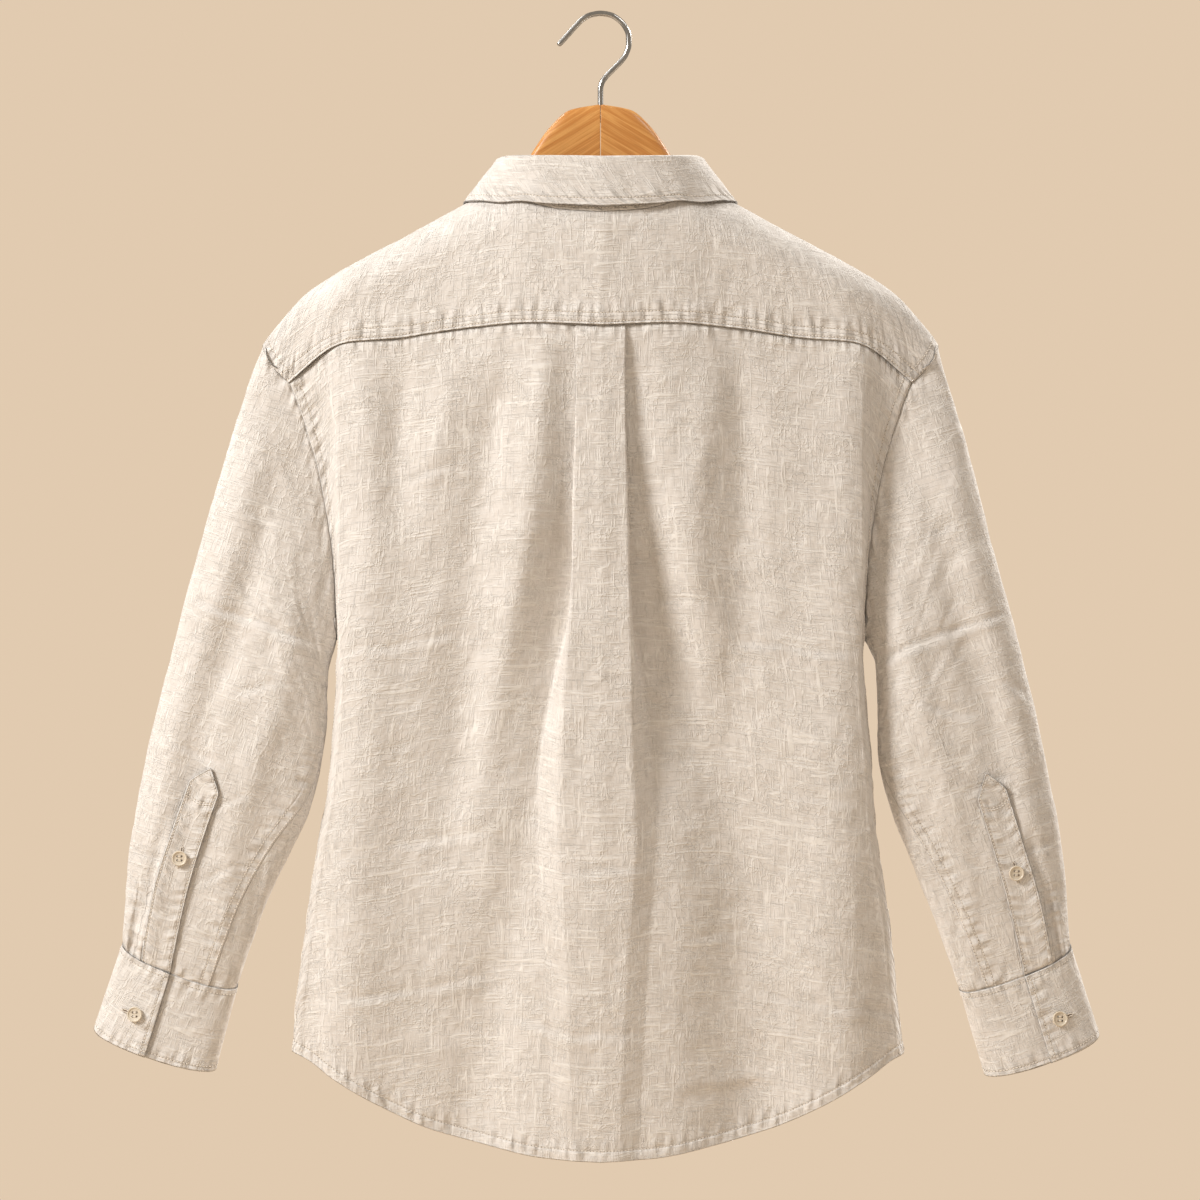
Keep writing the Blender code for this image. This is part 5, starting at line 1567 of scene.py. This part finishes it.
# Studio, in metres: the camera's distance from the plane that it frames, its place and the width
# seen, then floor and lights
CAMERA_DISTANCE = 3.4
CAMERA_PLANE = 0.028
CAMERA_HEIGHT = -0.4827
CAMERA_SIDE = 0.0004
FRAME_WIDTH = 0.984
SENSOR = 36
FLOOR = -1.7
FLOOR_HALF = 2.4
KEY_PLACE = (2.35, 1.4, 1.05)
KEY_POWER = 93
FILL_PLACE = (-1.9, 1.3, 2.4)
FILL_POWER = 20
LIGHT_SIZE = 1.0
LIGHT_COLOUR = (1.0, 0.985, 0.965)
ROOM_LIGHT = (0.36, 0.305, 0.245, 1)
ROOM_SEEN = (0.755, 0.595, 0.435, 1)
FLOOR_COLOUR = (0.76, 0.62, 0.47, 1)


def area_light(name, place, power):
    data = bpy.data.lights.new(name, "AREA")
    data.shape = "DISK"
    data.size = LIGHT_SIZE
    data.energy = power
    data.color = LIGHT_COLOUR
    light = add_object(name, data)
    light.location = place
    aim = Vector((0, 0, CAMERA_HEIGHT)) - Vector(place)
    light.rotation_euler = aim.to_track_quat("-Z", "Y").to_euler()


def make_world():
    """Plain beige room: softly lit cloth, and a plain background where nothing else is seen."""
    world = bpy.data.worlds.new("studio")
    bpy.context.scene.world = world
    world.use_nodes = True
    tree = world.node_tree
    add = node_kit(tree)
    light = tree.nodes["Background"]
    set_inputs(light, {"Color": ROOM_LIGHT})
    seen = add("ShaderNodeBackground", {"Color": ROOM_SEEN})
    by_camera = add("ShaderNodeLightPath").outputs["Is Camera Ray"]
    mix = add("ShaderNodeMixShader", {0: by_camera, 1: light.outputs[0], 2: seen.outputs[0]})
    set_inputs(tree.nodes["World Output"], {"Surface": mix.outputs[0]})


def make_studio():
    data = bpy.data.cameras.new("camera")
    data.sensor_width = SENSOR
    data.lens = SENSOR * CAMERA_DISTANCE / FRAME_WIDTH
    camera = add_object("camera", data)
    camera.location = (CAMERA_SIDE, CAMERA_PLANE + CAMERA_DISTANCE, CAMERA_HEIGHT)
    camera.rotation_euler = (math.pi / 2, 0, math.pi)
    bpy.context.scene.camera = camera
    for name, (x, y, z), power in (("key", KEY_PLACE, KEY_POWER), ("fill", FILL_PLACE, FILL_POWER)):
        area_light(f"{name}_back", (x, y, z), power)
        area_light(f"{name}_front", (-x, -y, z), power)
    bpy.context.scene.view_settings.view_transform = "Standard"
    material, shader, _ = new_material("floor", 0.9)
    set_inputs(shader, {"Base Color": FLOOR_COLOUR})
    mesh = bpy.data.meshes.new("floor")
    corners = [(x, y, FLOOR) for x, y in ((-FLOOR_HALF, -FLOOR_HALF), (FLOOR_HALF, -FLOOR_HALF),
                                          (FLOOR_HALF, FLOOR_HALF), (-FLOOR_HALF, FLOOR_HALF))]
    mesh.from_pydata(corners, [], [(0, 1, 2, 3)])
    mesh.materials.append(material)
    add_object("floor", mesh)


def main():
    make_studio()
    make_world()
    linen = linen_material()
    wood = wood_material()
    make_back(linen)
    yoke_ends = make_yoke(linen)
    cuffs, plackets = {}, {}
    for hand in HANDS:
        make_front(hand, linen)
        make_sleeve(hand, yoke_ends, linen)
        cuffs[hand] = make_cuff(hand, linen)
        plackets[hand] = make_placket(hand, linen)
        make_wood(hand, wood)
    make_stand(linen)
    make_leaf(linen)
    make_hook(steel_material())
    button = button_mesh(button_material())
    make_front_buttons(button)
    make_sleeve_buttons(button, "cuff", cuffs, STIFF_WALL, (1.0, 0, 0.37), 5.2, 7)
    make_sleeve_buttons(button, "placket", plackets, WALL, (-0.24, 0, 1.0), 1, 9.2)
    sew("stitching", stitch_rows, thread_material())


main()
